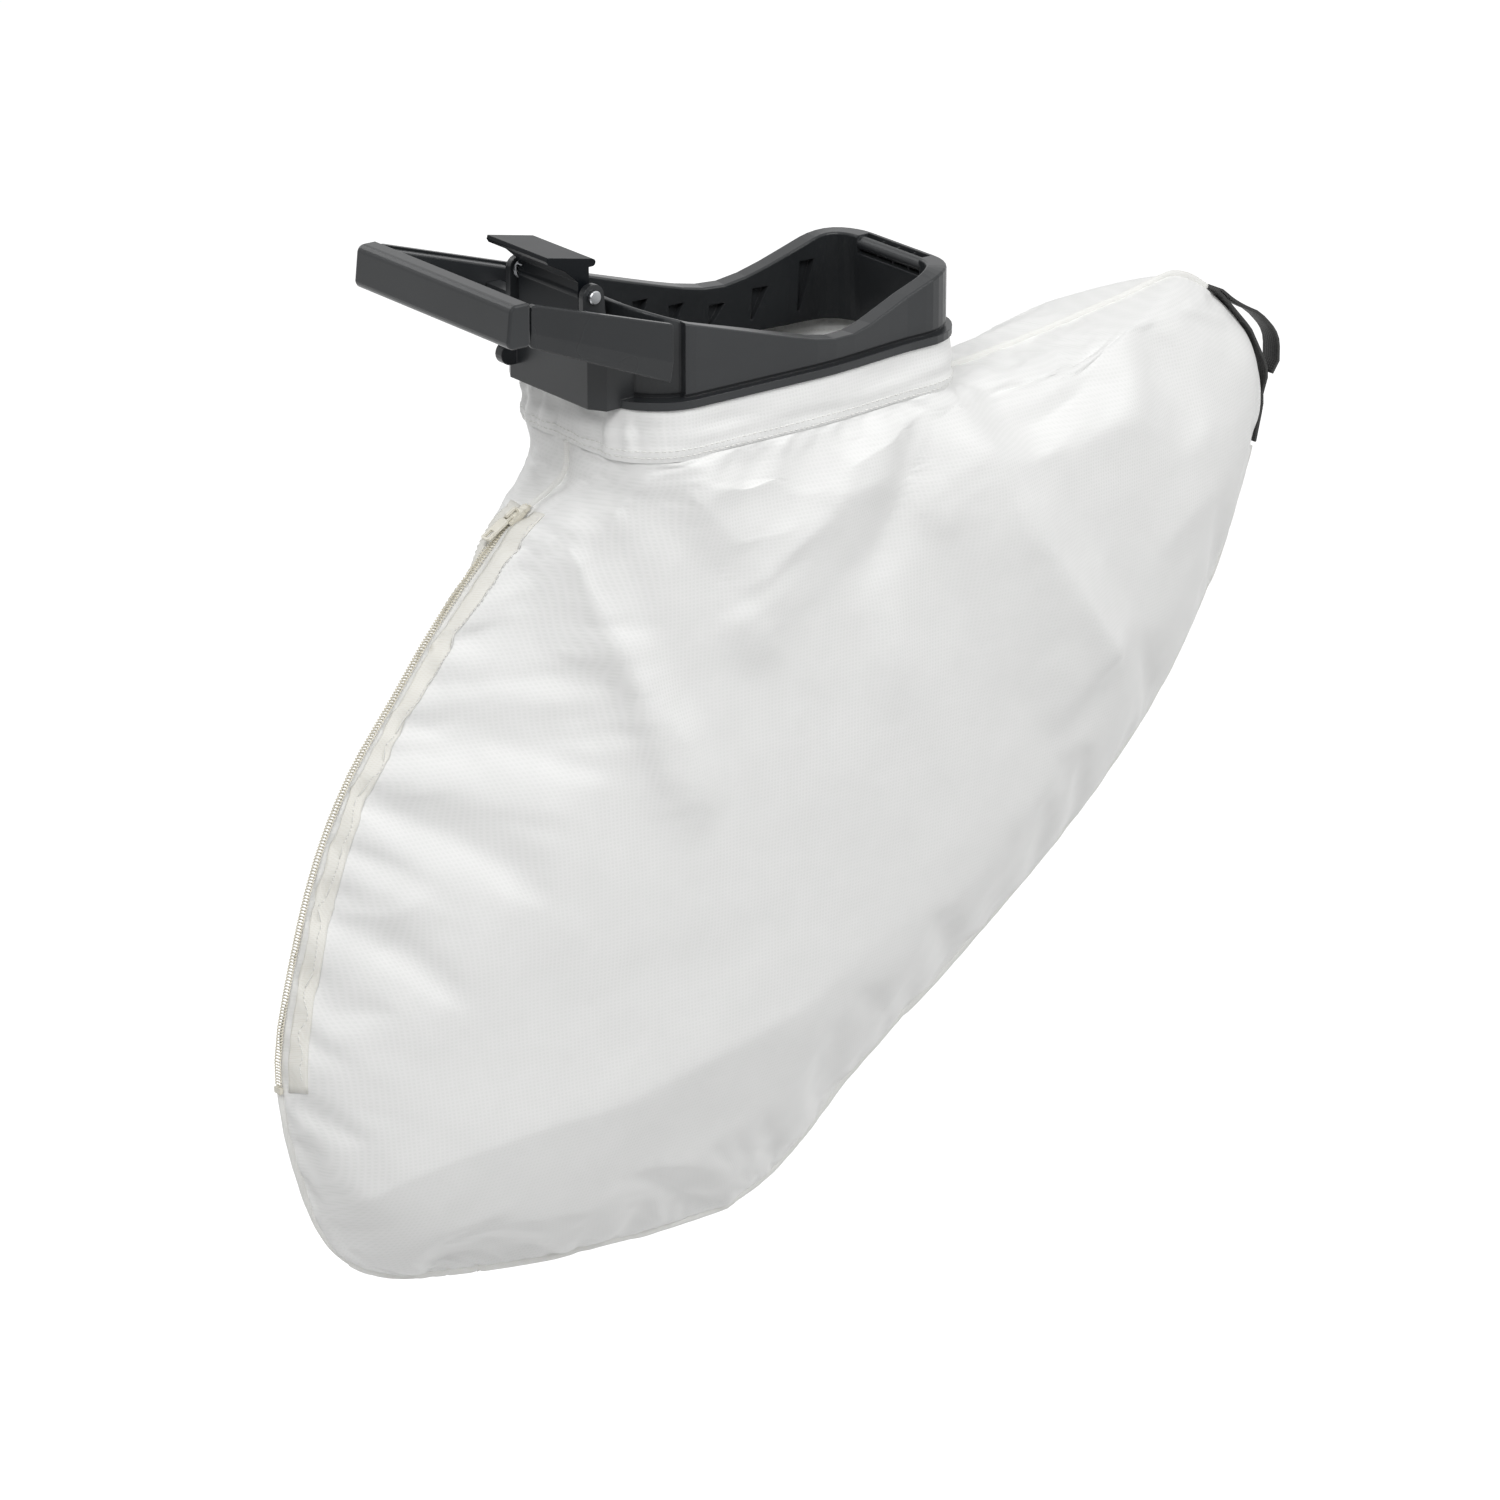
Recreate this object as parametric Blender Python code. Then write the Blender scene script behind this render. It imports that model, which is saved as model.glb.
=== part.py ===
"""Collection bag of a hand-held blower vacuum: moulded collar, handle, latch and zipped cloth bag.

Frame: metres, +Z up. The origin is the middle of the collar's mouth, level with the top of its lip.
+X runs from the latch to the hook bar, and the bag is symmetric about the plane Y = 0.
"""
from math import cos, exp, log, pi, radians, sin, sqrt

import bpy
from mathutils import Matrix, Vector

MM = 0.001

# Clearance between two pieces that touch
GAP = 0.3 * MM

# Collar ring, seen from above
RING_LENGTH = 200 * MM
RING_HALF_WIDTH = 57 * MM
HOOK_END_HALF_WIDTH = 50 * MM
LATCH_CORNER_RADIUS = 30 * MM
HOOK_CORNER_RADIUS = 26 * MM

# Collar ring, height of its rim along X
SADDLE_HEIGHT = 11 * MM
SADDLE_X = 12 * MM
SADDLE_SOFTNESS = 7 * MM
LATCH_RAMP_SLOPE = 0.296
HOOK_RISE = 19 * MM
HOOK_RISE_LENGTH = 77 * MM
HOOK_RISE_SETBACK = 5 * MM

# Collar ring, section of its wall
RIM_WIDTH = 10 * MM
THIN_WALL = 3 * MM
CORNER_RECESS = 4 * MM
CORNER_RECESS_RUN = 24 * MM
RIM_THINNING_RUN = 70 * MM
RIM_FILLET = 1.0 * MM
LIP_PROUD = 3 * MM
LIP_THICKNESS = 4 * MM
GROOVE_DEPTH = 1.5 * MM
GROOVE_HEIGHT = 2 * MM
SPIGOT_DEPTH = 15 * MM
SPIGOT_INSET = 4.5 * MM
SPIGOT_WALL = 3 * MM

# Pointed pockets in the inner wall
POCKET_X = [-25 * MM, -3 * MM, 21 * MM, 45 * MM, 72 * MM]
POCKET_WIDTH = 9 * MM
POCKET_BAND = 9 * MM
POCKET_POINT_Z = -9 * MM
POCKET_SKIN = 5.5 * MM

# Hook bar at the far end of the rim
HOOK_CHANNEL_DEPTH = 9 * MM
HOOK_SKIN = 2.5 * MM
HOOK_BAR_RADIUS = 3.4 * MM
HOOK_BAR_DROP = 0.8 * MM
HOOK_RIB_COUNT = 3
HOOK_RIB_THICKNESS = 1.2 * MM

# Latch housing at the near end of the ring
HOUSING_REACH = 14 * MM
HOUSING_HALF_WIDTH = 31 * MM
HOUSING_TOP = 30 * MM
HOUSING_CHAMFER_X = 5 * MM
HOUSING_CHAMFER_Y = 8 * MM
HOUSING_FILLET_RUN = 3.5 * MM
HOUSING_WALL = 2.4 * MM
HOUSING_FLOOR = 8 * MM
LUG_REACH = 9 * MM
LUG_HEIGHT = 11 * MM
LUG_WIDTH = 5 * MM
LUG_Z = 9.5 * MM
EAR_THICKNESS = 3.5 * MM
EAR_RADIUS = 6 * MM
BEAM_DEPTH = 8 * MM
BEAM_BOTTOM = 22 * MM
BEAM_HEIGHT = 16 * MM

# Latch lever and its pivot
PIVOT_SETBACK = 4 * MM
PIVOT_HEIGHT = 20 * MM
LEVER_FRONT_REACH = 3.6 * MM
LEVER_BACK_REACH = 2.6 * MM
LEVER_BARREL_RADIUS = 4 * MM
LEVER_CLEARANCE = 3 * MM
LEVER_KNEE_RISE = 6 * MM
THUMB_REACH = 21 * MM
THUMB_RISE = 21 * MM
THUMB_PLATE_THICKNESS = 3.6 * MM
CATCH_REACH = 6.5 * MM
CATCH_RISE = 16 * MM
PIN_RADIUS = 2 * MM
PIN_HEAD_RADIUS = 3.3 * MM
PIN_HEAD_THICKNESS = 1.6 * MM
PIN_TAIL = 1.2 * MM
SPRING_WIRE_RADIUS = 0.4 * MM
SPRING_COIL_RADIUS = 4.3 * MM
SPRING_TURNS = 2.5
SPRING_PITCH = 0.86 * MM
SPRING_LEG_RISE = 4 * MM
SPRING_LEG_HOOK = 5 * MM

# Loop handle
GRIP_REACH = 67 * MM
GRIP_DEPTH = 13 * MM
GRIP_HALF_LENGTH = 62 * MM
GRIP_TOP = 66 * MM
GRIP_HEIGHT = 21 * MM
GRIP_ROUNDING = 4 * MM
ARM_THICKNESS = 8 * MM
ARM_OVERLAP = 1 * MM
ARM_INSET = 1.2 * MM

# Side covers of the handle's arms
COVER_THICKNESS = 3.7 * MM
COVER_OVERLAP = 13 * MM
COVER_TOP_NEAR_GRIP = 65 * MM
COVER_TOP_NEAR_RING = 40 * MM
COVER_BOTTOM_NEAR_GRIP = 44 * MM
COVER_BOTTOM_NEAR_RING = 11 * MM
COVER_CREASE_SHARE = 0.36
COVER_TURN_IN = 2.0 * MM
COVER_CORNER_RADIUS = 3 * MM
COVER_PEG_RADIUS = 1.6 * MM
COVER_PEG_LENGTH = 4 * MM
COVER_PEG_RUNS = [13 * MM, 42 * MM]

# Screws that hold the handle to the frame, under the covers
SCREW_Z = 31 * MM
SCREW_SHANK_RADIUS = 1.7 * MM
SCREW_HEAD_RADIUS = 3.4 * MM
SCREW_HEAD_THICKNESS = 2.2 * MM
SCREW_GRIP = 12 * MM

# Cuff round the spigot
CUFF_THICKNESS = 1.2 * MM
CUFF_OUTSTAND = 1.6 * MM
HEM_THICKNESS = 0.8 * MM
HEM_DEPTH = 9 * MM

# Cloth bag, one row for each chord from its zip edge to its far edge, from the cuff to the bottom.
# In bag units: the zip edge's reach past the ring's latch end and its depth, the far edge's reach
# past the ring's hook end and its depth, how much thinner each half is than the ring, and last the
# share of the lens form (0 to 1).
BAG_UNIT = 1 * MM
BAG_ROWS = [
    (3, 29, 2, 29, 0, 0.02),
    (6, 48, 13, 40, 0, 0.15),
    (40, 67, 80, 34, 1, 0.56),
    (77, 103, 147, 24, 2, 0.86),
    (105, 138, 187, 22, 3, 0.97),
    (130, 170, 235, 78, 4, 1.0),
    (150, 208, 222, 148, 5, 1.0),
    (165, 255, 187, 224, 7, 1.0),
    (175, 304, 128, 290, 11, 1.0),
    (170, 350, 50, 350, 18, 1.0),
    (155, 397, -20, 397, 28, 1.0),
    (136, 421, -52, 424, 38, 1.0),
    (114, 434, -81, 445, 47, 1.0),
    (92, 440, -110, 456, 57, 1.0),
]
BOTTOM_SAG = 6 * MM
BOTTOM_SAG_ROWS = 3
ROWS_BETWEEN = 3
PANEL_COLUMNS = 18
PANEL_THICKNESS = 1.2 * MM
SEAM_HALF_GAP = 0.4 * MM
LENS_POWER = 2.2
LENS_BLUNTNESS = 0.7

# Zip along the bag's near edge
ZIP_TOP_ROW = 1.65
ZIP_BOTTOM_ROW = 8.35
ZIP_TAPE_WIDTH = 12 * MM
ZIP_TAPE_START = 2.8 * MM
ZIP_TAPE_THICKNESS = 0.6 * MM
TAPE_LIFT = 0.6 * MM
COIL_WIDTH = 2.4 * MM
COIL_HEIGHT = 2.0 * MM
SLIDER_LENGTH = 10 * MM
SLIDER_WALL = 0.9 * MM
BRIDGE_LENGTH = 7 * MM
BRIDGE_HEIGHT = 2.6 * MM
BRIDGE_WIDTH = 2 * MM
BRIDGE_BAR = 1.1 * MM
PULL_LENGTH = 17 * MM
PULL_WIDTH = 6.4 * MM
PULL_THICKNESS = 1.2 * MM
PULL_PIN_RADIUS = 0.4 * MM
PULL_SLOT_LENGTH = 4.5 * MM
PULL_SLOT_WIDTH = 2.6 * MM
STOP_LENGTH = 3 * MM

# Seam piping round the rest of the bag's edge
PIPING_WIDTH = 3 * MM
PIPING_HEIGHT = 1.4 * MM
PIPING_TOP_ROW = 1.2
STRAP_TOP_ROW = 4.25
STRAP_BOTTOM_ROW = 5.6

# Webbing at the bag's upper far corner
STRAP_WIDTH = 12 * MM
STRAP_THICKNESS = 1.6 * MM
LOOP_BOW = 11 * MM
LOOP_SKEW = 2.2
LOOP_START_SHARE = 0.03
LOOP_END_SHARE = 0.64


def clear_scene():
    for obj in list(bpy.data.objects):
        bpy.data.objects.remove(obj, do_unlink=True)
    for mesh in list(bpy.data.meshes):
        bpy.data.meshes.remove(mesh)


def make_material(name, colour, roughness, metallic=0.0):
    material = bpy.data.materials.new(name)
    material.use_nodes = True
    shader = material.node_tree.nodes["Principled BSDF"]
    shader.inputs["Base Color"].default_value = (*colour, 1.0)
    shader.inputs["Roughness"].default_value = roughness
    shader.inputs["Metallic"].default_value = metallic
    material.diffuse_color = (*colour, 1.0)
    return material


def add_mesh(name, points, faces, material, smooth_angle=35):
    """Make an object from points and faces, with its faces turned outwards."""
    mesh = bpy.data.meshes.new(name)
    mesh.from_pydata([tuple(p) for p in points], [], faces)
    mesh.validate()
    volume = 0.0
    for face in mesh.polygons:
        corners = [mesh.vertices[i].co for i in face.vertices]
        for k in range(1, len(corners) - 1):
            volume += corners[0].dot(corners[k].cross(corners[k + 1]))
    if volume < 0:
        mesh.flip_normals()
    mesh.shade_smooth()
    mesh.set_sharp_from_angle(angle=radians(smooth_angle))
    mesh.materials.append(material)
    obj = bpy.data.objects.new(name, mesh)
    bpy.context.scene.collection.objects.link(obj)
    return obj


def as_tool(obj):
    """Mark an object that only cuts or joins another one."""
    obj.hide_render = True
    obj.display_type = "WIRE"
    return obj


def combine(obj, tool, operation):
    modifier = obj.modifiers.new(tool.name, "BOOLEAN")
    modifier.operation = operation
    modifier.solver = "EXACT"
    modifier.object = as_tool(tool)


def cut(obj, tool):
    combine(obj, tool, "DIFFERENCE")


def join(obj, tool):
    combine(obj, tool, "UNION")


def loft(name, sections, material, closed=False, smooth_angle=35):
    """Skin a row of closed sections, and cap both ends unless the row closes on itself."""
    count = len(sections[0])
    points = [p for section in sections for p in section]
    faces = []
    spans = len(sections) if closed else len(sections) - 1
    for i in range(spans):
        here = i * count
        there = (i + 1) % len(sections) * count
        for j in range(count):
            k = (j + 1) % count
            faces.append((here + j, here + k, there + k, there + j))
    if not closed:
        last = (len(sections) - 1) * count
        faces.append(tuple(range(count - 1, -1, -1)))
        faces.append(tuple(range(last, last + count)))
    return add_mesh(name, points, faces, material, smooth_angle)


def slab(name, outer, inner, material):
    """Close two equal grids of points into one thin sheet with a rim all round."""
    rows, columns = len(outer), len(outer[0])
    points = [p for row in outer for p in row] + [p for row in inner for p in row]
    shift = rows * columns
    faces = []
    for i in range(rows - 1):
        for j in range(columns - 1):
            a, b = i * columns + j, i * columns + j + 1
            c, d = a + columns, b + columns
            faces.append((a, b, d, c))
            faces.append((shift + a, shift + c, shift + d, shift + b))
    rim = list(range(columns))
    rim += [i * columns + columns - 1 for i in range(1, rows)]
    rim += [(rows - 1) * columns + j for j in range(columns - 2, -1, -1)]
    rim += [i * columns for i in range(rows - 2, 0, -1)]
    for k, a in enumerate(rim):
        b = rim[(k + 1) % len(rim)]
        faces.append((a, shift + a, shift + b, b))
    return add_mesh(name, points, faces, material, 50)


def prism_y(name, outline, y_low, y_high, material):
    """Extrude an outline of (x, z) points along Y."""
    near = [Vector((x, y_low, z)) for x, z in outline]
    far = [Vector((x, y_high, z)) for x, z in outline]
    return loft(name, [near, far], material)


def prism_z(name, outline, z_low, z_high, material):
    """Extrude an outline of (x, y) points along Z."""
    lower = [Vector((x, y, z_low)) for x, y in outline]
    upper = [Vector((x, y, z_high)) for x, y in outline]
    return loft(name, [lower, upper], material)


def box(name, low, high, material):
    outline = [(low[0], low[1]), (high[0], low[1]), (high[0], high[1]), (low[0], high[1])]
    return prism_z(name, outline, low[2], high[2], material)


def rod_y(name, x, z, radius, y_low, y_high, material, sides=20):
    """Make a round bar along Y."""
    outline = []
    for k in range(sides):
        turn = 2 * pi * k / sides
        outline.append((x + radius * cos(turn), z + radius * sin(turn)))
    return prism_y(name, outline, y_low, y_high, material)


def arc_points(centre_x, centre_z, radius, start, end, steps):
    points = []
    for k in range(steps + 1):
        turn = radians(start + (end - start) * k / steps)
        points.append((centre_x + radius * cos(turn), centre_z + radius * sin(turn)))
    return points


def smoothstep(value):
    value = min(max(value, 0.0), 1.0)
    return value * value * (3 - 2 * value)


def bevel(obj, width, segments=2, angle=30):
    modifier = obj.modifiers.new("edge rounding", "BEVEL")
    modifier.width = width
    modifier.segments = segments
    modifier.limit_method = "ANGLE"
    modifier.angle_limit = radians(angle)
    modifier.use_clamp_overlap = True


# Collar ring: plan outline, rim height and wall section

LATCH_END_X = -RING_LENGTH / 2
HOOK_END_X = RING_LENGTH / 2
CORNER_RECESS_X = LATCH_END_X + CORNER_RECESS_RUN
RIM_THINS_FROM_X = LATCH_END_X + RIM_THINNING_RUN
HOOK_RISE_START = HOOK_END_X - HOOK_RISE_SETBACK - HOOK_RISE_LENGTH


def ring_half_width(x):
    """Half of the ring's width along its sides, which draw in towards the hook end."""
    run = HOOK_END_X - HOOK_CORNER_RADIUS
    draw_in = RING_HALF_WIDTH - HOOK_END_HALF_WIDTH
    return RING_HALF_WIDTH - draw_in * smoothstep(x / run)


def ring_half_plan():
    """Points of the outer wall from the hook end round the +Y side to the latch end."""
    hook_x = HOOK_END_X - HOOK_CORNER_RADIUS
    hook_y = HOOK_END_HALF_WIDTH - HOOK_CORNER_RADIUS
    latch_x = LATCH_END_X + LATCH_CORNER_RADIUS
    latch_y = RING_HALF_WIDTH - LATCH_CORNER_RADIUS
    points = [(HOOK_END_X, hook_y * k / 3) for k in range(3)]
    points += arc_points(hook_x, hook_y, HOOK_CORNER_RADIUS, 0, 90, 9)
    side_steps = 12
    side = []
    for k in range(1, side_steps):
        x = hook_x + (latch_x - hook_x) * k / side_steps
        side.append((x, ring_half_width(x)))
    points += side
    corner = arc_points(latch_x, latch_y, LATCH_CORNER_RADIUS, 90, 180, 12)
    step_turn = LATCH_CORNER_RADIUS * 0.02
    edge_y = sqrt(LATCH_CORNER_RADIUS ** 2 - (latch_x - CORNER_RECESS_X) ** 2)
    step_before = (CORNER_RECESS_X + step_turn / 2, latch_y + edge_y)
    step_after = (CORNER_RECESS_X - step_turn / 2, latch_y + edge_y - step_turn * 0.1)
    kept = [p for p in corner if abs(p[0] - CORNER_RECESS_X) > step_turn * 2]
    points += [p for p in kept if p[0] > CORNER_RECESS_X]
    points += [step_before, step_after]
    points += [p for p in kept if p[0] < CORNER_RECESS_X]
    points += [(LATCH_END_X, latch_y * (3 - k) / 3) for k in range(1, 4)]
    return points


def ring_plan():
    """Points of the whole outer wall, each with its outward normal."""
    half = ring_half_plan()
    points = half + [(x, -y) for x, y in reversed(half[1:-1])]
    plan = []
    for k, (x, y) in enumerate(points):
        before = points[k - 1]
        after = points[(k + 1) % len(points)]
        along = Vector((after[0] - before[0], after[1] - before[1], 0)).normalized()
        plan.append((Vector((x, y, 0)), Vector((along.y, -along.x, 0))))
    return plan


def rim_height(x):
    """Height of the rim: a ramp up to the latch, a saddle, and a rise to the hook bar."""
    ramp = LATCH_RAMP_SLOPE * SADDLE_SOFTNESS * log(1 + exp((SADDLE_X - x) / SADDLE_SOFTNESS))
    rise = HOOK_RISE * smoothstep((x - HOOK_RISE_START) / HOOK_RISE_LENGTH)
    return SADDLE_HEIGHT + ramp + rise


def outer_offset(x):
    return CORNER_RECESS if x < CORNER_RECESS_X else 0.0


def inner_offset(x):
    thin = CORNER_RECESS + THIN_WALL
    share = smoothstep((RIM_THINS_FROM_X - x) / (RIM_THINS_FROM_X - CORNER_RECESS_X))
    return RIM_WIDTH + (thin - RIM_WIDTH) * share


def ring_section(x):
    """Section of the collar wall as (distance inwards from the plan outline, height)."""
    top = rim_height(x)
    outer = outer_offset(x)
    inner = inner_offset(x)
    root = outer + GROOVE_DEPTH * (0.4 if outer else 1.0)
    soft = RIM_FILLET * 0.3
    return [
        (outer, GROOVE_HEIGHT),
        (outer, top - RIM_FILLET),
        (outer + soft, top - soft),
        (outer + RIM_FILLET, top),
        (inner - RIM_FILLET, top),
        (inner - soft, top - soft),
        (inner, top - RIM_FILLET),
        (SPIGOT_INSET + SPIGOT_WALL, -SPIGOT_DEPTH),
        (SPIGOT_INSET, -SPIGOT_DEPTH),
        (SPIGOT_INSET, -LIP_THICKNESS),
        (-LIP_PROUD, -LIP_THICKNESS),
        (-LIP_PROUD, 0.0),
        (root, 0.0),
        (root, GROOVE_HEIGHT),
    ]


def offset_loop(distance, height):
    """One closed loop round the ring, at a distance inside its plan outline."""
    return [point - normal * distance + Vector((0, 0, height)) for point, normal in ring_plan()]


def make_ring(material):
    sections = []
    for point, normal in ring_plan():
        section = []
        for inwards, height in ring_section(point.x):
            section.append(point - normal * inwards + Vector((0, 0, height)))
        sections.append(section)
    return loft("collar_frame", sections, material, closed=True, smooth_angle=40)


def cut_pockets(ring, material):
    """Row of pointed pockets in each long inner wall, under the smooth band of the rim."""
    for side in (1, -1):
        for number, x in enumerate(POCKET_X):
            top = rim_height(x) - POCKET_BAND
            wall = ring_half_width(x)
            outline = [
                (x - POCKET_WIDTH / 2, top),
                (x + POCKET_WIDTH / 2, top),
                (x - POCKET_WIDTH / 2 + 1 * MM, POCKET_POINT_Z),
                (x - POCKET_WIDTH / 2, POCKET_POINT_Z),
            ]
            reach = [side * (wall - POCKET_SKIN), side * (wall - RIM_WIDTH - 2 * MM)]
            name = "pocket_cutter_%d_%d" % (side, number)
            cut(ring, prism_y(name, outline, min(reach), max(reach), material))


def add_hook_bar(ring, material):
    """Channel in the rim's far end, with a round bar and ribs across it."""
    top = rim_height(HOOK_END_X)
    half = HOOK_END_HALF_WIDTH - HOOK_CORNER_RADIUS
    inner_x = HOOK_END_X - RIM_WIDTH
    skin_x = HOOK_END_X - HOOK_SKIN
    channel_low = (inner_x - 2 * MM, -half, top - HOOK_CHANNEL_DEPTH)
    cut(ring, box("hook_channel_cutter", channel_low, (skin_x, half, top + 2 * MM), material))
    bar_x = inner_x + HOOK_BAR_RADIUS
    bar_z = top - HOOK_BAR_DROP - HOOK_BAR_RADIUS
    overlap = 1 * MM
    bar = rod_y("hook_bar_stock", bar_x, bar_z, HOOK_BAR_RADIUS, -half - overlap, half + overlap, material)
    join(ring, bar)
    for k in range(HOOK_RIB_COUNT):
        y = -half + 2 * half * (k + 1) / (HOOK_RIB_COUNT + 1)
        low = (bar_x, y - HOOK_RIB_THICKNESS / 2, top - HOOK_CHANNEL_DEPTH - overlap)
        high = (skin_x + overlap, y + HOOK_RIB_THICKNESS / 2, top - HOOK_BAR_DROP * 2)
        join(ring, box("hook_rib_stock_%d" % k, low, high, material))


# Latch housing, part of the same moulding as the ring

HOUSING_FACE_X = LATCH_END_X - HOUSING_REACH
PIVOT_X = HOUSING_FACE_X + PIVOT_SETBACK
PIVOT_Z = HOUSING_TOP + PIVOT_HEIGHT
EAR_INNER_Y = HOUSING_HALF_WIDTH - EAR_THICKNESS
SPRING_WIDTH = SPRING_PITCH * SPRING_TURNS + SPRING_WIRE_RADIUS * 2
LEVER_HALF_WIDTH = EAR_INNER_Y - SPRING_WIDTH - GAP * 2
ARM_OUTER_Y = GRIP_HALF_LENGTH - COVER_THICKNESS - GAP
ARM_INNER_Y = ARM_OUTER_Y - ARM_THICKNESS


def add_housing(ring, material):
    wall_x = LATCH_END_X + CORNER_RECESS + THIN_WALL / 2
    wide = HOUSING_HALF_WIDTH + HOUSING_CHAMFER_Y
    shoulder_x = HOUSING_FACE_X + HOUSING_CHAMFER_X
    corner_x = wall_x + HOUSING_FILLET_RUN
    outline = [
        (HOUSING_FACE_X, -HOUSING_HALF_WIDTH),
        (shoulder_x, -wide),
        (corner_x, -wide),
        (wall_x, -HOUSING_HALF_WIDTH),
        (wall_x, HOUSING_HALF_WIDTH),
        (corner_x, wide),
        (shoulder_x, wide),
        (HOUSING_FACE_X, HOUSING_HALF_WIDTH),
    ]
    join(ring, prism_z("housing_stock", outline, -LIP_THICKNESS, HOUSING_TOP, material))
    pocket_low = (HOUSING_FACE_X + HOUSING_WALL, -LEVER_HALF_WIDTH - GAP * 2, HOUSING_FLOOR)
    pocket_high = (LATCH_END_X + CORNER_RECESS - 1 * MM, LEVER_HALF_WIDTH + GAP * 2, HOUSING_TOP + 1 * MM)
    cut(ring, box("housing_pocket_cutter", pocket_low, pocket_high, material))


def add_ears(ring, material):
    """Two ears that hold the latch pin, each with a beam out to the handle's arm."""
    for side in (1, -1):
        foot = HOUSING_TOP - 2 * MM
        outline = [(PIVOT_X - EAR_RADIUS, foot)]
        outline += [(PIVOT_X + EAR_RADIUS * 1.4, foot)]
        outline += arc_points(PIVOT_X, PIVOT_Z, EAR_RADIUS, 0, 180, 12)
        ear = sorted([side * EAR_INNER_Y, side * HOUSING_HALF_WIDTH])
        join(ring, prism_y("ear_stock_%d" % side, outline, ear[0], ear[1], material))
        reach = sorted([side * (HOUSING_HALF_WIDTH - 1 * MM), side * (ARM_INNER_Y - GAP)])
        low = (PIVOT_X - BEAM_DEPTH / 2, reach[0], BEAM_BOTTOM)
        high = (PIVOT_X + BEAM_DEPTH / 2, reach[1], BEAM_BOTTOM + BEAM_HEIGHT)
        join(ring, box("beam_stock_%d" % side, low, high, material))
    hole = rod_y("pin_hole_cutter", PIVOT_X, PIVOT_Z, PIN_RADIUS + GAP,
                 -HOUSING_HALF_WIDTH - 2 * MM, HOUSING_HALF_WIDTH + 2 * MM, material)
    cut(ring, hole)
    for side in (1, -1):
        depth = sorted([side * (ARM_OUTER_Y - SCREW_HEAD_THICKNESS - SCREW_GRIP - GAP * 2),
                        side * (ARM_INNER_Y + 1 * MM)])
        name = "screw_hole_cutter_%d" % side
        cut(ring, rod_y(name, PIVOT_X, SCREW_Z, SCREW_SHANK_RADIUS + GAP, depth[0], depth[1], material, 16))


def add_lug(ring, material):
    """Small rounded lug beside the housing's face, on one side only."""
    radius = LUG_HEIGHT / 2
    tip_x = HOUSING_FACE_X - LUG_REACH + radius
    outline = [(HOUSING_FACE_X + 1 * MM, LUG_Z - radius), (HOUSING_FACE_X + 1 * MM, LUG_Z + radius)]
    outline += arc_points(tip_x, LUG_Z, radius, 90, 270, 10)
    y_high = HOUSING_HALF_WIDTH - 0.5 * MM
    join(ring, prism_y("lug_stock", outline, y_high - LUG_WIDTH, y_high, material))


# Latch: lever, pin and torsion spring

THUMB_EDGE_X = PIVOT_X - THUMB_REACH
THUMB_EDGE_Z = PIVOT_Z + THUMB_RISE
CATCH_TIP_X = PIVOT_X + CATCH_REACH
CATCH_TIP_Z = PIVOT_Z + CATCH_RISE
LEVER_BOTTOM = HOUSING_TOP + LEVER_CLEARANCE
LEVER_KNEE_Z = PIVOT_Z + LEVER_KNEE_RISE


def make_lever(material):
    """Wedge-shaped lever: a thumb plate on top, its catch behind, and a barrel round the pin."""
    front_x = PIVOT_X - LEVER_FRONT_REACH
    back_x = PIVOT_X + LEVER_BACK_REACH
    tip = THUMB_PLATE_THICKNESS / 2
    outline = [(front_x, LEVER_BOTTOM), (front_x, LEVER_KNEE_Z)]
    mid_x = (front_x + THUMB_EDGE_X) / 2
    mid_z = (LEVER_KNEE_Z + THUMB_EDGE_Z - THUMB_PLATE_THICKNESS) / 2
    outline += [(mid_x + 1.2 * MM, mid_z + 1.0 * MM)]
    outline += [(THUMB_EDGE_X + 0.6 * MM, THUMB_EDGE_Z - THUMB_PLATE_THICKNESS)]
    outline += [(THUMB_EDGE_X - 0.6 * MM, THUMB_EDGE_Z - tip), (THUMB_EDGE_X, THUMB_EDGE_Z)]
    outline += arc_points(CATCH_TIP_X - tip, CATCH_TIP_Z - tip, tip, 80, -90, 6)
    outline += [(back_x, CATCH_TIP_Z - THUMB_PLATE_THICKNESS), (back_x, LEVER_BOTTOM)]
    lever = prism_y("latch_lever", outline, -LEVER_HALF_WIDTH, LEVER_HALF_WIDTH, material)
    barrel = rod_y("barrel_stock", PIVOT_X, PIVOT_Z, LEVER_BARREL_RADIUS,
                   -LEVER_HALF_WIDTH, LEVER_HALF_WIDTH, material, 24)
    join(lever, barrel)
    reach = LEVER_HALF_WIDTH + 2 * MM
    cut(lever, rod_y("lever_bore_cutter", PIVOT_X, PIVOT_Z, PIN_RADIUS + GAP, -reach, reach, material))
    return lever


def make_pin(material):
    """Pin along Y with a flat head outside the near ear and a plain tail outside the other."""
    sections = []
    head_y = -HOUSING_HALF_WIDTH - GAP
    steps = [
        (head_y - PIN_HEAD_THICKNESS, PIN_HEAD_RADIUS * 0.85),
        (head_y - PIN_HEAD_THICKNESS * 0.7, PIN_HEAD_RADIUS),
        (head_y, PIN_HEAD_RADIUS),
        (head_y, PIN_RADIUS),
        (HOUSING_HALF_WIDTH + PIN_TAIL * 0.6, PIN_RADIUS),
        (HOUSING_HALF_WIDTH + PIN_TAIL, PIN_RADIUS * 0.8),
    ]
    for y, radius in steps:
        section = []
        for k in range(20):
            turn = 2 * pi * k / 20
            section.append(Vector((PIVOT_X + radius * cos(turn), y, PIVOT_Z + radius * sin(turn))))
        sections.append(section)
    return loft("latch_pin", sections, material)


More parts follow.
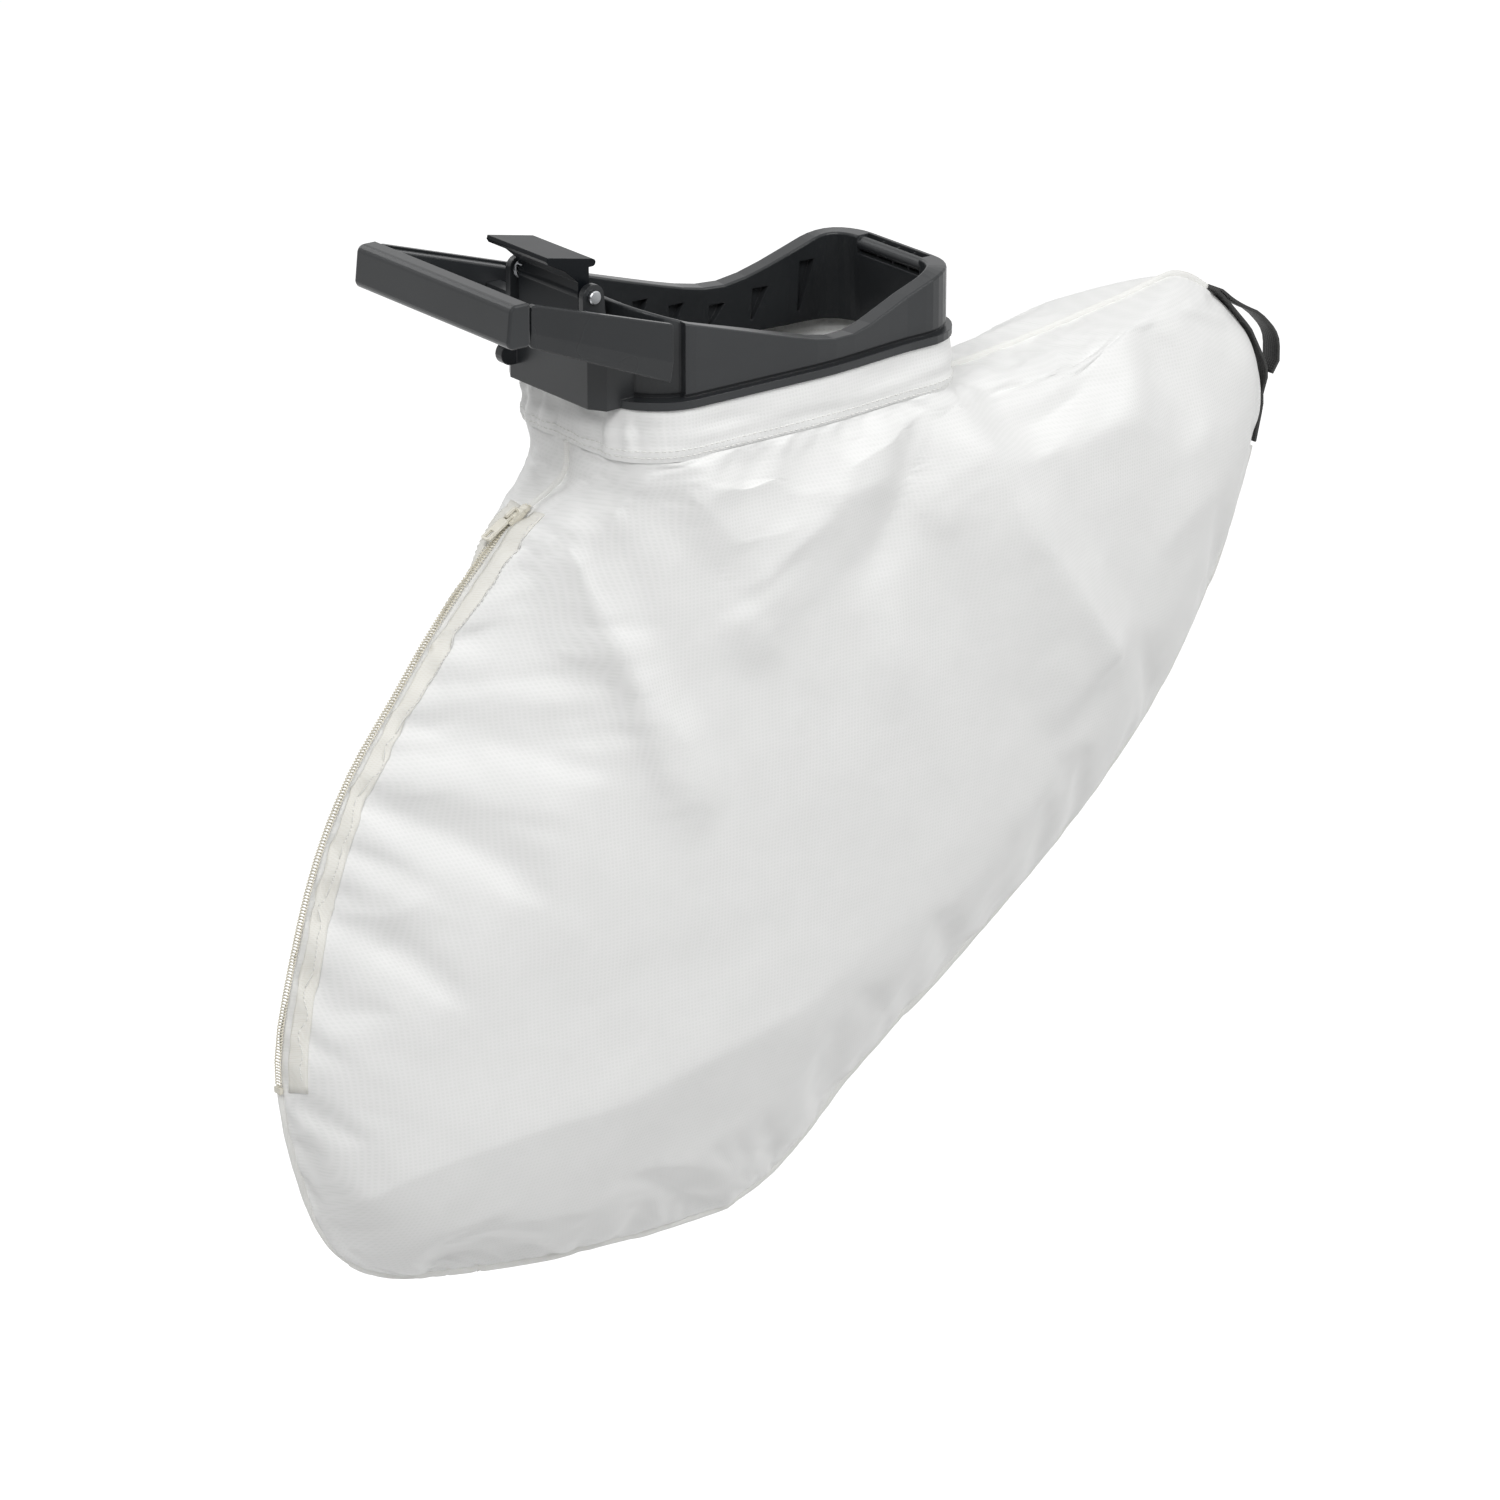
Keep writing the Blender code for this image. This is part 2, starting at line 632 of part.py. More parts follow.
def make_wire(name, points, radius, material):
    curve = bpy.data.curves.new(name, "CURVE")
    curve.dimensions = "3D"
    curve.bevel_depth = radius
    curve.bevel_resolution = 1
    curve.use_fill_caps = True
    spline = curve.splines.new("POLY")
    spline.points.add(len(points) - 1)
    for place, point in zip(spline.points, points):
        place.co = (*point, 1.0)
    curve.materials.append(material)
    obj = bpy.data.objects.new(name, curve)
    bpy.context.scene.collection.objects.link(obj)
    return obj


def make_spring(material):
    """Torsion spring round the pin: one leg on the lever's front face, one on the housing."""
    start_y = LEVER_HALF_WIDTH + SPRING_WIRE_RADIUS + GAP
    front_x = PIVOT_X - SPRING_COIL_RADIUS
    leg_z = PIVOT_Z + SPRING_LEG_RISE
    points = [
        Vector((front_x, start_y - SPRING_LEG_HOOK, leg_z)),
        Vector((front_x, start_y - SPRING_WIRE_RADIUS * 2, leg_z)),
        Vector((front_x, start_y, leg_z - SPRING_WIRE_RADIUS * 2)),
    ]
    steps = 14
    count = int(steps * SPRING_TURNS)
    for k in range(count + 1):
        turn = pi + 2 * pi * k / steps
        y = start_y + SPRING_PITCH * k / steps
        points.append(Vector((PIVOT_X + SPRING_COIL_RADIUS * cos(turn), y,
                              PIVOT_Z + SPRING_COIL_RADIUS * sin(turn))))
    foot_z = HOUSING_TOP + SPRING_WIRE_RADIUS + GAP
    end = points[-1]
    points.append(Vector((end.x, end.y, (end.z + foot_z) / 2)))
    points.append(Vector((end.x, end.y, foot_z)))
    return make_wire("latch_spring", points, SPRING_WIRE_RADIUS, material)


# Loop handle and its side covers

GRIP_OUTER_X = HOUSING_FACE_X - GRIP_REACH
GRIP_INNER_X = GRIP_OUTER_X + GRIP_DEPTH
ARM_END_X = LATCH_END_X + ARM_OVERLAP
COVER_END_X = LATCH_END_X + COVER_OVERLAP
ARM_RUN = COVER_END_X - GRIP_INNER_X


def cover_line(x, near_grip, near_ring):
    """Height at x of a straight edge that falls from the grip to the ring."""
    share = (x - GRIP_INNER_X) / ARM_RUN
    return near_grip + (near_ring - near_grip) * share


def cover_top(x):
    return cover_line(x, COVER_TOP_NEAR_GRIP, COVER_TOP_NEAR_RING)


def cover_bottom(x):
    return cover_line(x, COVER_BOTTOM_NEAR_GRIP, COVER_BOTTOM_NEAR_RING)


def make_handle(material):
    """Grip bar with rounded edges, and the two arms that carry it."""
    outer = GRIP_OUTER_X
    inner = GRIP_INNER_X
    low = GRIP_TOP - GRIP_HEIGHT
    lean = 1.5 * MM
    outline = [
        (inner, low + 1 * MM),
        (inner, GRIP_TOP - 1 * MM),
        (inner - 1.5 * MM, GRIP_TOP),
    ]
    outline += arc_points(outer + lean + GRIP_ROUNDING, GRIP_TOP - GRIP_ROUNDING, GRIP_ROUNDING, 90, 170, 5)
    outline += arc_points(outer + GRIP_ROUNDING, low + GRIP_ROUNDING, GRIP_ROUNDING, 185, 270, 5)
    outline += [(inner - 2 * MM, low)]
    handle = prism_y("handle_loop", outline, -GRIP_HALF_LENGTH, GRIP_HALF_LENGTH, material)
    bevel(handle, 1.2 * MM, 2, 60)
    start = inner - 3 * MM
    for side in (1, -1):
        arm = [
            (start, cover_bottom(inner) + ARM_INSET),
            (inner, cover_bottom(inner) + ARM_INSET),
            (ARM_END_X, cover_bottom(ARM_END_X) + ARM_INSET),
            (ARM_END_X, cover_top(ARM_END_X) - ARM_INSET),
            (inner, cover_top(inner) - ARM_INSET),
            (start, cover_top(inner) - ARM_INSET),
        ]
        span = sorted([side * ARM_INNER_Y, side * ARM_OUTER_Y])
        stock = prism_y("arm_stock_%d" % side, arm, span[0], span[1], material)
        bevel(stock, 0.8 * MM, 2, 60)
        join(handle, stock)
        through = sorted([side * (ARM_INNER_Y - 1 * MM), side * (ARM_OUTER_Y + 1 * MM)])
        cut(handle, rod_y("arm_hole_cutter_%d" % side, PIVOT_X, SCREW_Z, SCREW_SHANK_RADIUS + GAP,
                          through[0], through[1], material, 16))
        seat = sorted([side * (ARM_OUTER_Y - SCREW_HEAD_THICKNESS - GAP * 2), side * (ARM_OUTER_Y + 1 * MM)])
        cut(handle, rod_y("arm_seat_cutter_%d" % side, PIVOT_X, SCREW_Z, SCREW_HEAD_RADIUS + GAP,
                          seat[0], seat[1], material))
        for number, run in enumerate(COVER_PEG_RUNS):
            x = GRIP_INNER_X + run
            z = (cover_top(x) + cover_bottom(x)) / 2
            depth = sorted([side * (ARM_OUTER_Y - COVER_PEG_LENGTH - GAP), side * (ARM_OUTER_Y + 1 * MM)])
            cut(handle, rod_y("peg_hole_cutter_%d_%d" % (side, number), x, z, COVER_PEG_RADIUS + GAP,
                              depth[0], depth[1], material, 16))
    return handle


def make_cover(name, side, material):
    """Side cover of an arm: a flat upper face, a crease, and a lower strip that turns in."""
    first = GRIP_INNER_X + GAP
    last = COVER_END_X
    stations = [(first, COVER_CORNER_RADIUS)]
    for turn in (30, 60, 90):
        back = COVER_CORNER_RADIUS * (1 - cos(radians(turn)))
        trim = COVER_CORNER_RADIUS * (1 - sin(radians(turn)))
        stations.append((first + back, trim))
    stations.append((last, 0.0))
    inner_y = ARM_OUTER_Y + GAP
    sections = []
    for x, trim in stations:
        top = cover_top(x) - trim
        bottom = cover_bottom(x) + trim
        crease = bottom + (top - bottom) * COVER_CREASE_SHARE
        soft = 0.7 * MM
        section = [
            (inner_y, top),
            (GRIP_HALF_LENGTH - soft, top),
            (GRIP_HALF_LENGTH, top - soft),
            (GRIP_HALF_LENGTH, crease),
            (GRIP_HALF_LENGTH - COVER_TURN_IN, bottom + soft),
            (GRIP_HALF_LENGTH - COVER_TURN_IN - soft, bottom),
            (inner_y, bottom),
        ]
        sections.append([Vector((x, side * y, z)) for y, z in section])
    cover = loft(name, sections, material, smooth_angle=12)
    for number, run in enumerate(COVER_PEG_RUNS):
        x = GRIP_INNER_X + run
        z = (cover_top(x) + cover_bottom(x)) / 2
        span = sorted([side * (ARM_OUTER_Y - COVER_PEG_LENGTH), side * (inner_y + 1 * MM)])
        join(cover, rod_y("%s_peg_%d" % (name, number), x, z, COVER_PEG_RADIUS, span[0], span[1], material, 16))
    return cover


def make_screw(name, side, material):
    """Pan-head screw from the arm into the frame's beam."""
    head_y = ARM_OUTER_Y - GAP
    seat_y = head_y - SCREW_HEAD_THICKNESS
    steps = [
        (head_y, SCREW_HEAD_RADIUS * 0.7),
        (head_y - SCREW_HEAD_THICKNESS * 0.4, SCREW_HEAD_RADIUS),
        (seat_y, SCREW_HEAD_RADIUS),
        (seat_y, SCREW_SHANK_RADIUS),
        (seat_y - SCREW_GRIP * 0.85, SCREW_SHANK_RADIUS),
        (seat_y - SCREW_GRIP, SCREW_SHANK_RADIUS * 0.4),
    ]
    sections = []
    for y, radius in steps:
        section = []
        for k in range(16):
            turn = 2 * pi * k / 16
            section.append(Vector((PIVOT_X + radius * cos(turn), side * y, SCREW_Z + radius * sin(turn))))
        sections.append(section)
    return loft(name, sections, material)


# Cuff, hem and elastic under the collar's lip


def make_hem(material):
    """Turned-in hem of the cuff, which holds the elastic against the spigot."""
    top = -SPIGOT_DEPTH + HEM_DEPTH
    loops = [
        offset_loop(HEM_OUTER, top),
        offset_loop(HEM_OUTER, -SPIGOT_DEPTH),
        offset_loop(HEM_OUTER + HEM_THICKNESS, -SPIGOT_DEPTH),
        offset_loop(HEM_OUTER + HEM_THICKNESS, top),
    ]
    sections = [list(section) for section in zip(*loops)]
    return loft("cuff_hem", sections, material, closed=True, smooth_angle=50)


def cuff_loop(share, inwards):
    """Loop of the cuff, from the ring's own outline (share 0) to the bag's first row (share 1)."""
    near, far = zip_edge(0.0), far_edge(0.0)
    half = half_thickness(0.0)
    top_z = -LIP_THICKNESS - GAP
    bottom_z = near.z + GAP
    loop = []
    for point, normal in ring_plan():
        along = (point.x - LATCH_END_X) / RING_LENGTH
        flared_x = near.x + (far.x - near.x) * along
        flared_y = point.y * half / RING_HALF_WIDTH
        x = point.x + (flared_x - point.x) * share
        y = point.y + (flared_y - point.y) * share
        z = top_z + (bottom_z - top_z) * share
        loop.append(Vector((x, y, z)) + normal * (CUFF_OUTSTAND - inwards))
    return loop


def make_cuff(material):
    """Cloth cuff: follows the ring at its top and the bag's first row at its bottom."""
    levels = (0.0, 0.5, 1.0)
    loops = [cuff_loop(share, 0.0) for share in levels]
    loops += [cuff_loop(share, CUFF_THICKNESS) for share in reversed(levels)]
    return loft("neck_cuff", [list(s) for s in zip(*loops)], material, closed=True, smooth_angle=50)


HEM_OUTER = CUFF_THICKNESS - CUFF_OUTSTAND + GAP
ELASTIC_RADIUS = (SPIGOT_INSET - HEM_OUTER - HEM_THICKNESS) / 2 - GAP


def make_elastic(material):
    """Elastic cord inside the hem, which grips the spigot."""
    plan_offset = SPIGOT_INSET - GAP - ELASTIC_RADIUS
    z = -SPIGOT_DEPTH + HEM_DEPTH / 2
    sections = []
    for point, normal in ring_plan():
        section = []
        for k in range(6):
            turn = 2 * pi * k / 6
            inwards = plan_offset + ELASTIC_RADIUS * cos(turn)
            section.append(point - normal * inwards + Vector((0, 0, z + ELASTIC_RADIUS * sin(turn))))
        sections.append(section)
    return loft("cuff_elastic", sections, material, closed=True, smooth_angle=60)


# Cloth bag: rows of chords, each with a ring-like or lens-like section


def row_value(column, position):
    """Smooth value of one column of BAG_ROWS at a row position such as 2.4."""
    last = len(BAG_ROWS) - 1
    position = min(max(position, 0.0), float(last))
    k = min(int(position), last - 1)
    share = position - k
    picks = [BAG_ROWS[min(max(k + d, 0), last)][column] for d in (-1, 0, 1, 2)]
    a, b, c, d = picks
    slope_b = (c - a) / 2
    slope_c = (d - b) / 2
    s2, s3 = share * share, share ** 3
    value = (2 * s3 - 3 * s2 + 1) * b + (s3 - 2 * s2 + share) * slope_b
    return value + (3 * s2 - 2 * s3) * c + (s3 - s2) * slope_c


def zip_edge(position):
    reach, depth = row_value(0, position), row_value(1, position)
    return Vector((LATCH_END_X - reach * BAG_UNIT, 0, -depth * BAG_UNIT))


def far_edge(position):
    reach, depth = row_value(2, position), row_value(3, position)
    return Vector((HOOK_END_X + reach * BAG_UNIT, 0, -depth * BAG_UNIT))


def half_thickness(position):
    return max(RING_HALF_WIDTH - row_value(4, position) * BAG_UNIT, 0.0)


def bottom_sag(position, share):
    """How far the bag's lowest rows sag between their two edges."""
    last = len(BAG_ROWS) - 1
    low = smoothstep((position - last + BOTTOM_SAG_ROWS) / BOTTOM_SAG_ROWS)
    return Vector((0, 0, -BOTTOM_SAG * low * sin(pi * share)))


def ring_form():
    """Half of the ring's plan in equal steps, as (share of the length, share of the width)."""
    half = [Vector((x, y, 0)) for x, y in reversed(ring_half_plan())]
    lengths = [0.0]
    for a, b in zip(half, half[1:]):
        lengths.append(lengths[-1] + (b - a).length)
    form = []
    place = 0
    for j in range(PANEL_COLUMNS + 1):
        goal = lengths[-1] * j / PANEL_COLUMNS
        while place < len(lengths) - 2 and lengths[place + 1] < goal:
            place += 1
        step = (goal - lengths[place]) / (lengths[place + 1] - lengths[place])
        point = half[place].lerp(half[place + 1], step)
        form.append(((point.x - LATCH_END_X) / RING_LENGTH, point.y / RING_HALF_WIDTH))
    return form


RING_FORM = ring_form()


def bag_point(position, column, inset):
    """Point of the +Y half of the bag's surface, its two edges moved inwards along the chord."""
    near = zip_edge(position)
    far = far_edge(position)
    along = (far - near).normalized()
    near = near + along * inset
    far = far - along * inset
    lens = min(max(row_value(5, position), 0.0), 1.0)
    lens_share = (1 - cos(pi * column / PANEL_COLUMNS)) / 2
    lens_width = (1 - abs(2 * lens_share - 1) ** LENS_POWER) ** LENS_BLUNTNESS
    ring_share, ring_width = RING_FORM[column]
    share = ring_share + (lens_share - ring_share) * lens
    width = ring_width + (lens_width - ring_width) * lens
    point = near.lerp(far, share) + bottom_sag(position, share)
    point.y = half_thickness(position) * width
    return point


def panel_positions():
    last = len(BAG_ROWS) - 1
    steps = last * ROWS_BETWEEN
    return [last * k / steps for k in range(steps + 1)]


def panel_point(position, column, side, depth):
    """Point of a panel's outer face (depth 0) or of a face that lies deeper in the bag."""
    point = bag_point(position, column, max(depth, 0.0))
    seam = SEAM_HALF_GAP + PANEL_THICKNESS - depth
    point.y = side * (point.y + max(seam, SEAM_HALF_GAP))
    return point


def make_panel(name, side, material):
    positions = panel_positions()
    columns = range(PANEL_COLUMNS + 1)
    outer = [[panel_point(t, j, side, 0.0) for j in columns] for t in positions]
    inner = [[panel_point(t, j, side, PANEL_THICKNESS) for j in columns] for t in positions]
    for point in inner[-1]:
        point.z += PANEL_THICKNESS
    return slab(name, outer, inner, material)


def edge_strip(name, path, y_low, y_high, inner, outer, material, outwards):
    """Strip along a path in the plane Y = 0, between two distances outside it."""
    sections = []
    for k, point in enumerate(path):
        before = path[max(k - 1, 0)]
        after = path[min(k + 1, len(path) - 1)]
        along = (after - before).normalized()
        normal = Vector((along.z, 0, -along.x)) * outwards
        low = point + normal * inner
        high = point + normal * outer
        sections.append([
            Vector((low.x, y_low, low.z)),
            Vector((high.x, y_low, high.z)),
            Vector((high.x, y_high, high.z)),
            Vector((low.x, y_high, low.z)),
        ])
    return loft(name, sections, material, smooth_angle=50)


def even_path(points, spacing):
    """Points at an even spacing along a line of points."""
    lengths = [0.0]
    for a, b in zip(points, points[1:]):
        lengths.append(lengths[-1] + (b - a).length)
    count = max(int(round(lengths[-1] / spacing)), 2)
    result = []
    place = 0
    for k in range(count + 1):
        goal = lengths[-1] * k / count
        while place < len(lengths) - 2 and lengths[place + 1] < goal:
            place += 1
        share = (goal - lengths[place]) / (lengths[place + 1] - lengths[place])
        result.append(points[place].lerp(points[place + 1], min(share, 1.0)))
    return result


def edge_points(edge, first, last):
    """Points of a panel's edge between two row positions, at the panels' own rows."""
    within = [t for t in panel_positions() if first < t < last]
    return [edge(t) for t in [first] + within + [last]]


def trim_path(points, start_length, end_length):
    """The middle of a path, with a length taken off each end."""
    fine = even_path(points, 0.5 * MM)
    step = (fine[1] - fine[0]).length
    first = int(round(start_length / step))
    last = len(fine) - int(round(end_length / step))
    return fine[first:last]


ZIP_FULL = edge_points(zip_edge, ZIP_TOP_ROW, ZIP_BOTTOM_ROW)
STRIP_SPACING = 5 * MM


def tape_row(position, side):
    """Places and outward normals across one tape: near the coil, at the panel's fold, and its edge."""
    first, second, third = [panel_point(position, column, side, 0.0) for column in (0, 1, 2)]
    down = (zip_edge(position + 0.1) - zip_edge(position - 0.1)).normalized()
    rise, run = (second - first), (third - second)
    normals = [rise.cross(down).normalized(), run.cross(down).normalized()]
    normals = [n if n.y * side > 0 else -n for n in normals]
    fold = (normals[0] + normals[1]).normalized()
    start = first + rise.normalized() * ZIP_TAPE_START
    end = second + run.normalized() * (ZIP_TAPE_WIDTH - rise.length)
    return [(start, normals[0]), (second, fold), (end, normals[1])]


def make_zip_tape(name, side, material):
    """Woven tape beside the coil, laid on the outside of its panel, row by row."""
    outer, inner = [], []
    for position in panel_positions():
        if not ZIP_TOP_ROW <= position <= ZIP_BOTTOM_ROW:
            continue
        row = tape_row(position, side)
        inner.append([place + normal * TAPE_LIFT for place, normal in row])
        outer.append([place + normal * (TAPE_LIFT + ZIP_TAPE_THICKNESS) for place, normal in row])
    return slab(name, outer, inner, material)


def zip_frame():
    """Place and axes of the slider near the zip's top: down the zip, across it, and outwards."""
    path = trim_path(ZIP_FULL, STOP_LENGTH + GAP + SLIDER_LENGTH / 2, 0.0)
    down = (path[8] - path[0]).normalized()
    outwards = Vector((down.z, 0, -down.x))
    if outwards.x > 0:
        outwards = -outwards
    across = outwards.cross(down)
    frame = Matrix((down, across, outwards)).transposed().to_4x4()
    frame.translation = path[0]
    return frame


def framed_prism(name, outline, low, high, frame, axis, material):
    """Extrude an outline in the slider's own axes: along the zip (0) or across it (1)."""
    sections = []
    for level in (low, high):
        if axis == 0:
            sections.append([frame @ Vector((level, a, b)) for a, b in outline])
        else:
            sections.append([frame @ Vector((a, level, b)) for a, b in outline])
    return loft(name, sections, material)


COIL_FOOT = 0.6 * MM
COIL_TOP = COIL_FOOT + COIL_HEIGHT
SLIDER_PLATE = COIL_TOP + GAP
SLIDER_TOP = SLIDER_PLATE + SLIDER_WALL
PULL_PIN_ALONG = BRIDGE_LENGTH / 2 - BRIDGE_BAR - PULL_PIN_RADIUS - GAP
PULL_PIN_OUT = SLIDER_TOP + GAP + PULL_PIN_RADIUS


def make_slider(material):
    """Slider: a channel over both coils, with a bridge that holds the pull."""
    half = SLIDER_LENGTH / 2
    inside = COIL_WIDTH + GAP
    outside = inside + SLIDER_WALL
    channel = [
        (-outside, COIL_FOOT + GAP), (-outside, SLIDER_TOP), (outside, SLIDER_TOP),
        (outside, COIL_FOOT + GAP), (inside, COIL_FOOT + GAP), (inside, SLIDER_PLATE),
        (-inside, SLIDER_PLATE), (-inside, COIL_FOOT + GAP),
    ]
    frame = zip_frame()
    slider = framed_prism("zip_slider", channel, -half, half, frame, 0, material)
    long = BRIDGE_LENGTH / 2
    window = long - BRIDGE_BAR
    top = SLIDER_TOP + BRIDGE_HEIGHT
    root = SLIDER_TOP - 0.2 * MM
    bridge = [
        (-long, root), (-long, top - 0.6 * MM), (-long + 0.8 * MM, top), (long - 0.8 * MM, top),
        (long, top - 0.6 * MM), (long, root), (window, root), (window, top - BRIDGE_BAR),
        (-window, top - BRIDGE_BAR), (-window, root),
    ]
    join(slider, framed_prism("bridge_stock", bridge, -BRIDGE_WIDTH / 2, BRIDGE_WIDTH / 2, frame, 1, material))
    return slider


def make_pull(material):
    """Pull tab with two legs and a pin through the slider's bridge, lying along the zip."""
    frame = zip_frame()
    pivot = frame @ Vector((PULL_PIN_ALONG, 0, PULL_PIN_OUT))
    low = PULL_PIN_OUT - PULL_PIN_RADIUS
    high = low + PULL_THICKNESS
    plate_start = BRIDGE_LENGTH / 2 + 0.6 * MM
    plate_end = PULL_PIN_ALONG + PULL_LENGTH
    leg_inner = BRIDGE_WIDTH / 2 + GAP
    leg_outer = leg_inner + 0.9 * MM
    half = PULL_WIDTH / 2
    plate = [
        (plate_start, -leg_outer), (plate_start + 1.5 * MM, -half), (plate_end - 1 * MM, -half),
        (plate_end, -half + 1.2 * MM), (plate_end, half - 1.2 * MM), (plate_end - 1 * MM, half),
        (plate_start + 1.5 * MM, half), (plate_start, leg_outer),
    ]
    sections = []
    for level in (low, high):
        sections.append([frame @ Vector((a, b, level)) for a, b in plate])
    pull = loft("zip_pull", sections, material)
    for side in (1, -1):
        leg = [
            (PULL_PIN_ALONG - PULL_PIN_RADIUS, low), (plate_start + 0.5 * MM, low),
            (plate_start + 0.5 * MM, high), (PULL_PIN_ALONG - PULL_PIN_RADIUS, high),
        ]
        span = sorted([side * leg_inner, side * leg_outer])
        join(pull, framed_prism("pull_leg_%d" % side, leg, span[0], span[1], frame, 1, material))
    pin = []
    for k in range(10):
        turn = 2 * pi * k / 10
        pin.append((PULL_PIN_ALONG + PULL_PIN_RADIUS * cos(turn), PULL_PIN_OUT + PULL_PIN_RADIUS * sin(turn)))
    reach = leg_inner + 0.4 * MM
    join(pull, framed_prism("pull_pin_stock", pin, -reach, reach, frame, 1, material))
    slot_end = plate_end - 1.6 * MM
    slot = []
    for level in (low - 1 * MM, high + 1 * MM):
        corners = [(slot_end - PULL_SLOT_LENGTH, -1), (slot_end, -1), (slot_end, 1), (slot_end - PULL_SLOT_LENGTH, 1)]
        slot.append([frame @ Vector((a, b * PULL_SLOT_WIDTH / 2, level)) for a, b in corners])
    cut(pull, loft("pull_slot_cutter", slot, material))
    set_origin(pull, pivot)
    return pull


def set_origin(obj, place):
    """Move an object's origin to its joint axis and leave its shape where it is."""
    obj.data.transform(Matrix.Translation(-place))
    obj.location = place


def make_zip(materials):
    tape, coil, metal = materials["zip tape"], materials["zip coil"], materials["zip metal"]
    make_zip_tape("zip_tape_near", -1, tape)
    make_zip_tape("zip_tape_far", 1, tape)
    chain = even_path(trim_path(ZIP_FULL, STOP_LENGTH + GAP, STOP_LENGTH + GAP), STRIP_SPACING)
    half_gap = GAP / 2
    edge_strip("zip_coil_near", chain, -COIL_WIDTH, -half_gap, COIL_FOOT, COIL_TOP, coil, 1)
    edge_strip("zip_coil_far", chain, half_gap, COIL_WIDTH, COIL_FOOT, COIL_TOP, coil, 1)
    fine = even_path(ZIP_FULL, STOP_LENGTH / 3)
    count = 3
    edge_strip("zip_top_stop", fine[:count + 1], -COIL_WIDTH, COIL_WIDTH, COIL_FOOT, COIL_TOP, metal, 1)
    edge_strip("zip_bottom_stop", fine[-count - 1:], -COIL_WIDTH, COIL_WIDTH, COIL_FOOT, COIL_TOP, metal, 1)
    make_slider(metal)
    make_pull(metal)


def bottom_point(last, share):
    return zip_edge(last).lerp(far_edge(last), share) + bottom_sag(last, share)


def make_piping(material):
    """Piped seams: behind the neck, along the upper edge, and round the far and lower edges."""
    half = PIPING_WIDTH / 2
    last = len(BAG_ROWS) - 1
    neck = even_path(edge_points(zip_edge, 0.05, ZIP_TOP_ROW - 0.05), STRIP_SPACING)
    edge_strip("neck_seam_tape", neck, -half, half, COIL_FOOT, COIL_FOOT + PIPING_HEIGHT, material, 1)
    upper = even_path(edge_points(far_edge, PIPING_TOP_ROW, STRAP_TOP_ROW - 0.05), STRIP_SPACING)
    edge_strip("upper_edge_piping", upper, -half, half, COIL_FOOT, COIL_FOOT + PIPING_HEIGHT, material, -1)
    lower = edge_points(far_edge, STRAP_BOTTOM_ROW + 0.05, last)
    lower += [bottom_point(last, k / 20) for k in range(19, 0, -1)]
    lower += reversed(edge_points(zip_edge, ZIP_BOTTOM_ROW + 0.05, last))
    path = even_path(lower, STRIP_SPACING)
    edge_strip("lower_edge_piping", path, -half, half, COIL_FOOT, COIL_FOOT + PIPING_HEIGHT, material, -1)


def make_strap(material):
    """Webbing sewn over the far corner, and the grab loop that bows out from it."""
    half = STRAP_WIDTH / 2
    base = even_path(edge_points(far_edge, STRAP_TOP_ROW, STRAP_BOTTOM_ROW), STRIP_SPACING)
    edge_strip("strap_base", base, -half, half, COIL_FOOT, COIL_FOOT + STRAP_THICKNESS, material, -1)
    fine = even_path(edge_points(far_edge, STRAP_TOP_ROW, STRAP_BOTTOM_ROW), 1 * MM)
    first = int(len(fine) * LOOP_START_SHARE)
    last = int(len(fine) * LOOP_END_SHARE)
    foot = COIL_FOOT + STRAP_THICKNESS + GAP
    path = []
    for k in range(first, last + 1, 4):
        along = (fine[min(k + 2, len(fine) - 1)] - fine[k - 2 if k > 1 else 0]).normalized()
        normal = Vector((-along.z, 0, along.x))
        share = (k - first) / (last - first)
        bow = LOOP_BOW * sin(pi * share ** LOOP_SKEW) ** 0.8 if 0 < share < 1 else 0.0
        path.append(fine[k] + normal * (foot + bow))
    edge_strip("strap_loop", path, -half, half, 0.0, STRAP_THICKNESS, material, -1)


def build():
    clear_scene()
    plastic = make_material("moulded plastic, dark grey", (0.035, 0.038, 0.042), 0.42)
    steel = make_material("steel, zinc plated", (0.55, 0.55, 0.56), 0.35, 1.0)
    spring_steel = make_material("spring steel", (0.30, 0.30, 0.31), 0.35, 1.0)
    cloth = make_material("coated woven cloth, white", (0.86, 0.86, 0.85), 0.6)
    elastic = make_material("elastic cord, white", (0.80, 0.80, 0.78), 0.8)
    piping = make_material("seam tape, off-white", (0.83, 0.82, 0.77), 0.75)
    webbing = make_material("webbing, black", (0.02, 0.019, 0.018), 0.8)
    zip_materials = {
        "zip tape": make_material("zip tape, cream", (0.82, 0.80, 0.73), 0.8),
        "zip coil": make_material("zip coil, cream nylon", (0.80, 0.78, 0.70), 0.45),
        "zip metal": make_material("painted zip metal, cream", (0.80, 0.79, 0.72), 0.35),
    }

    ring = make_ring(plastic)
    cut_pockets(ring, plastic)
    add_hook_bar(ring, plastic)
    add_housing(ring, plastic)
    add_ears(ring, plastic)
    add_lug(ring, plastic)

    lever = make_lever(plastic)
    set_origin(lever, Vector((PIVOT_X, 0, PIVOT_Z)))
    make_pin(steel)
    make_spring(spring_steel)

    make_handle(plastic)
    make_cover("side_cover_near", -1, plastic)
    make_cover("side_cover_far", 1, plastic)
    make_screw("handle_screw_near", -1, steel)
    make_screw("handle_screw_far", 1, steel)

    make_cuff(cloth)
    make_hem(cloth)
    make_elastic(elastic)
    make_panel("bag_panel_near", -1, cloth)
    make_panel("bag_panel_far", 1, cloth)
    make_piping(piping)
    make_zip(zip_materials)
    make_strap(webbing)


build()
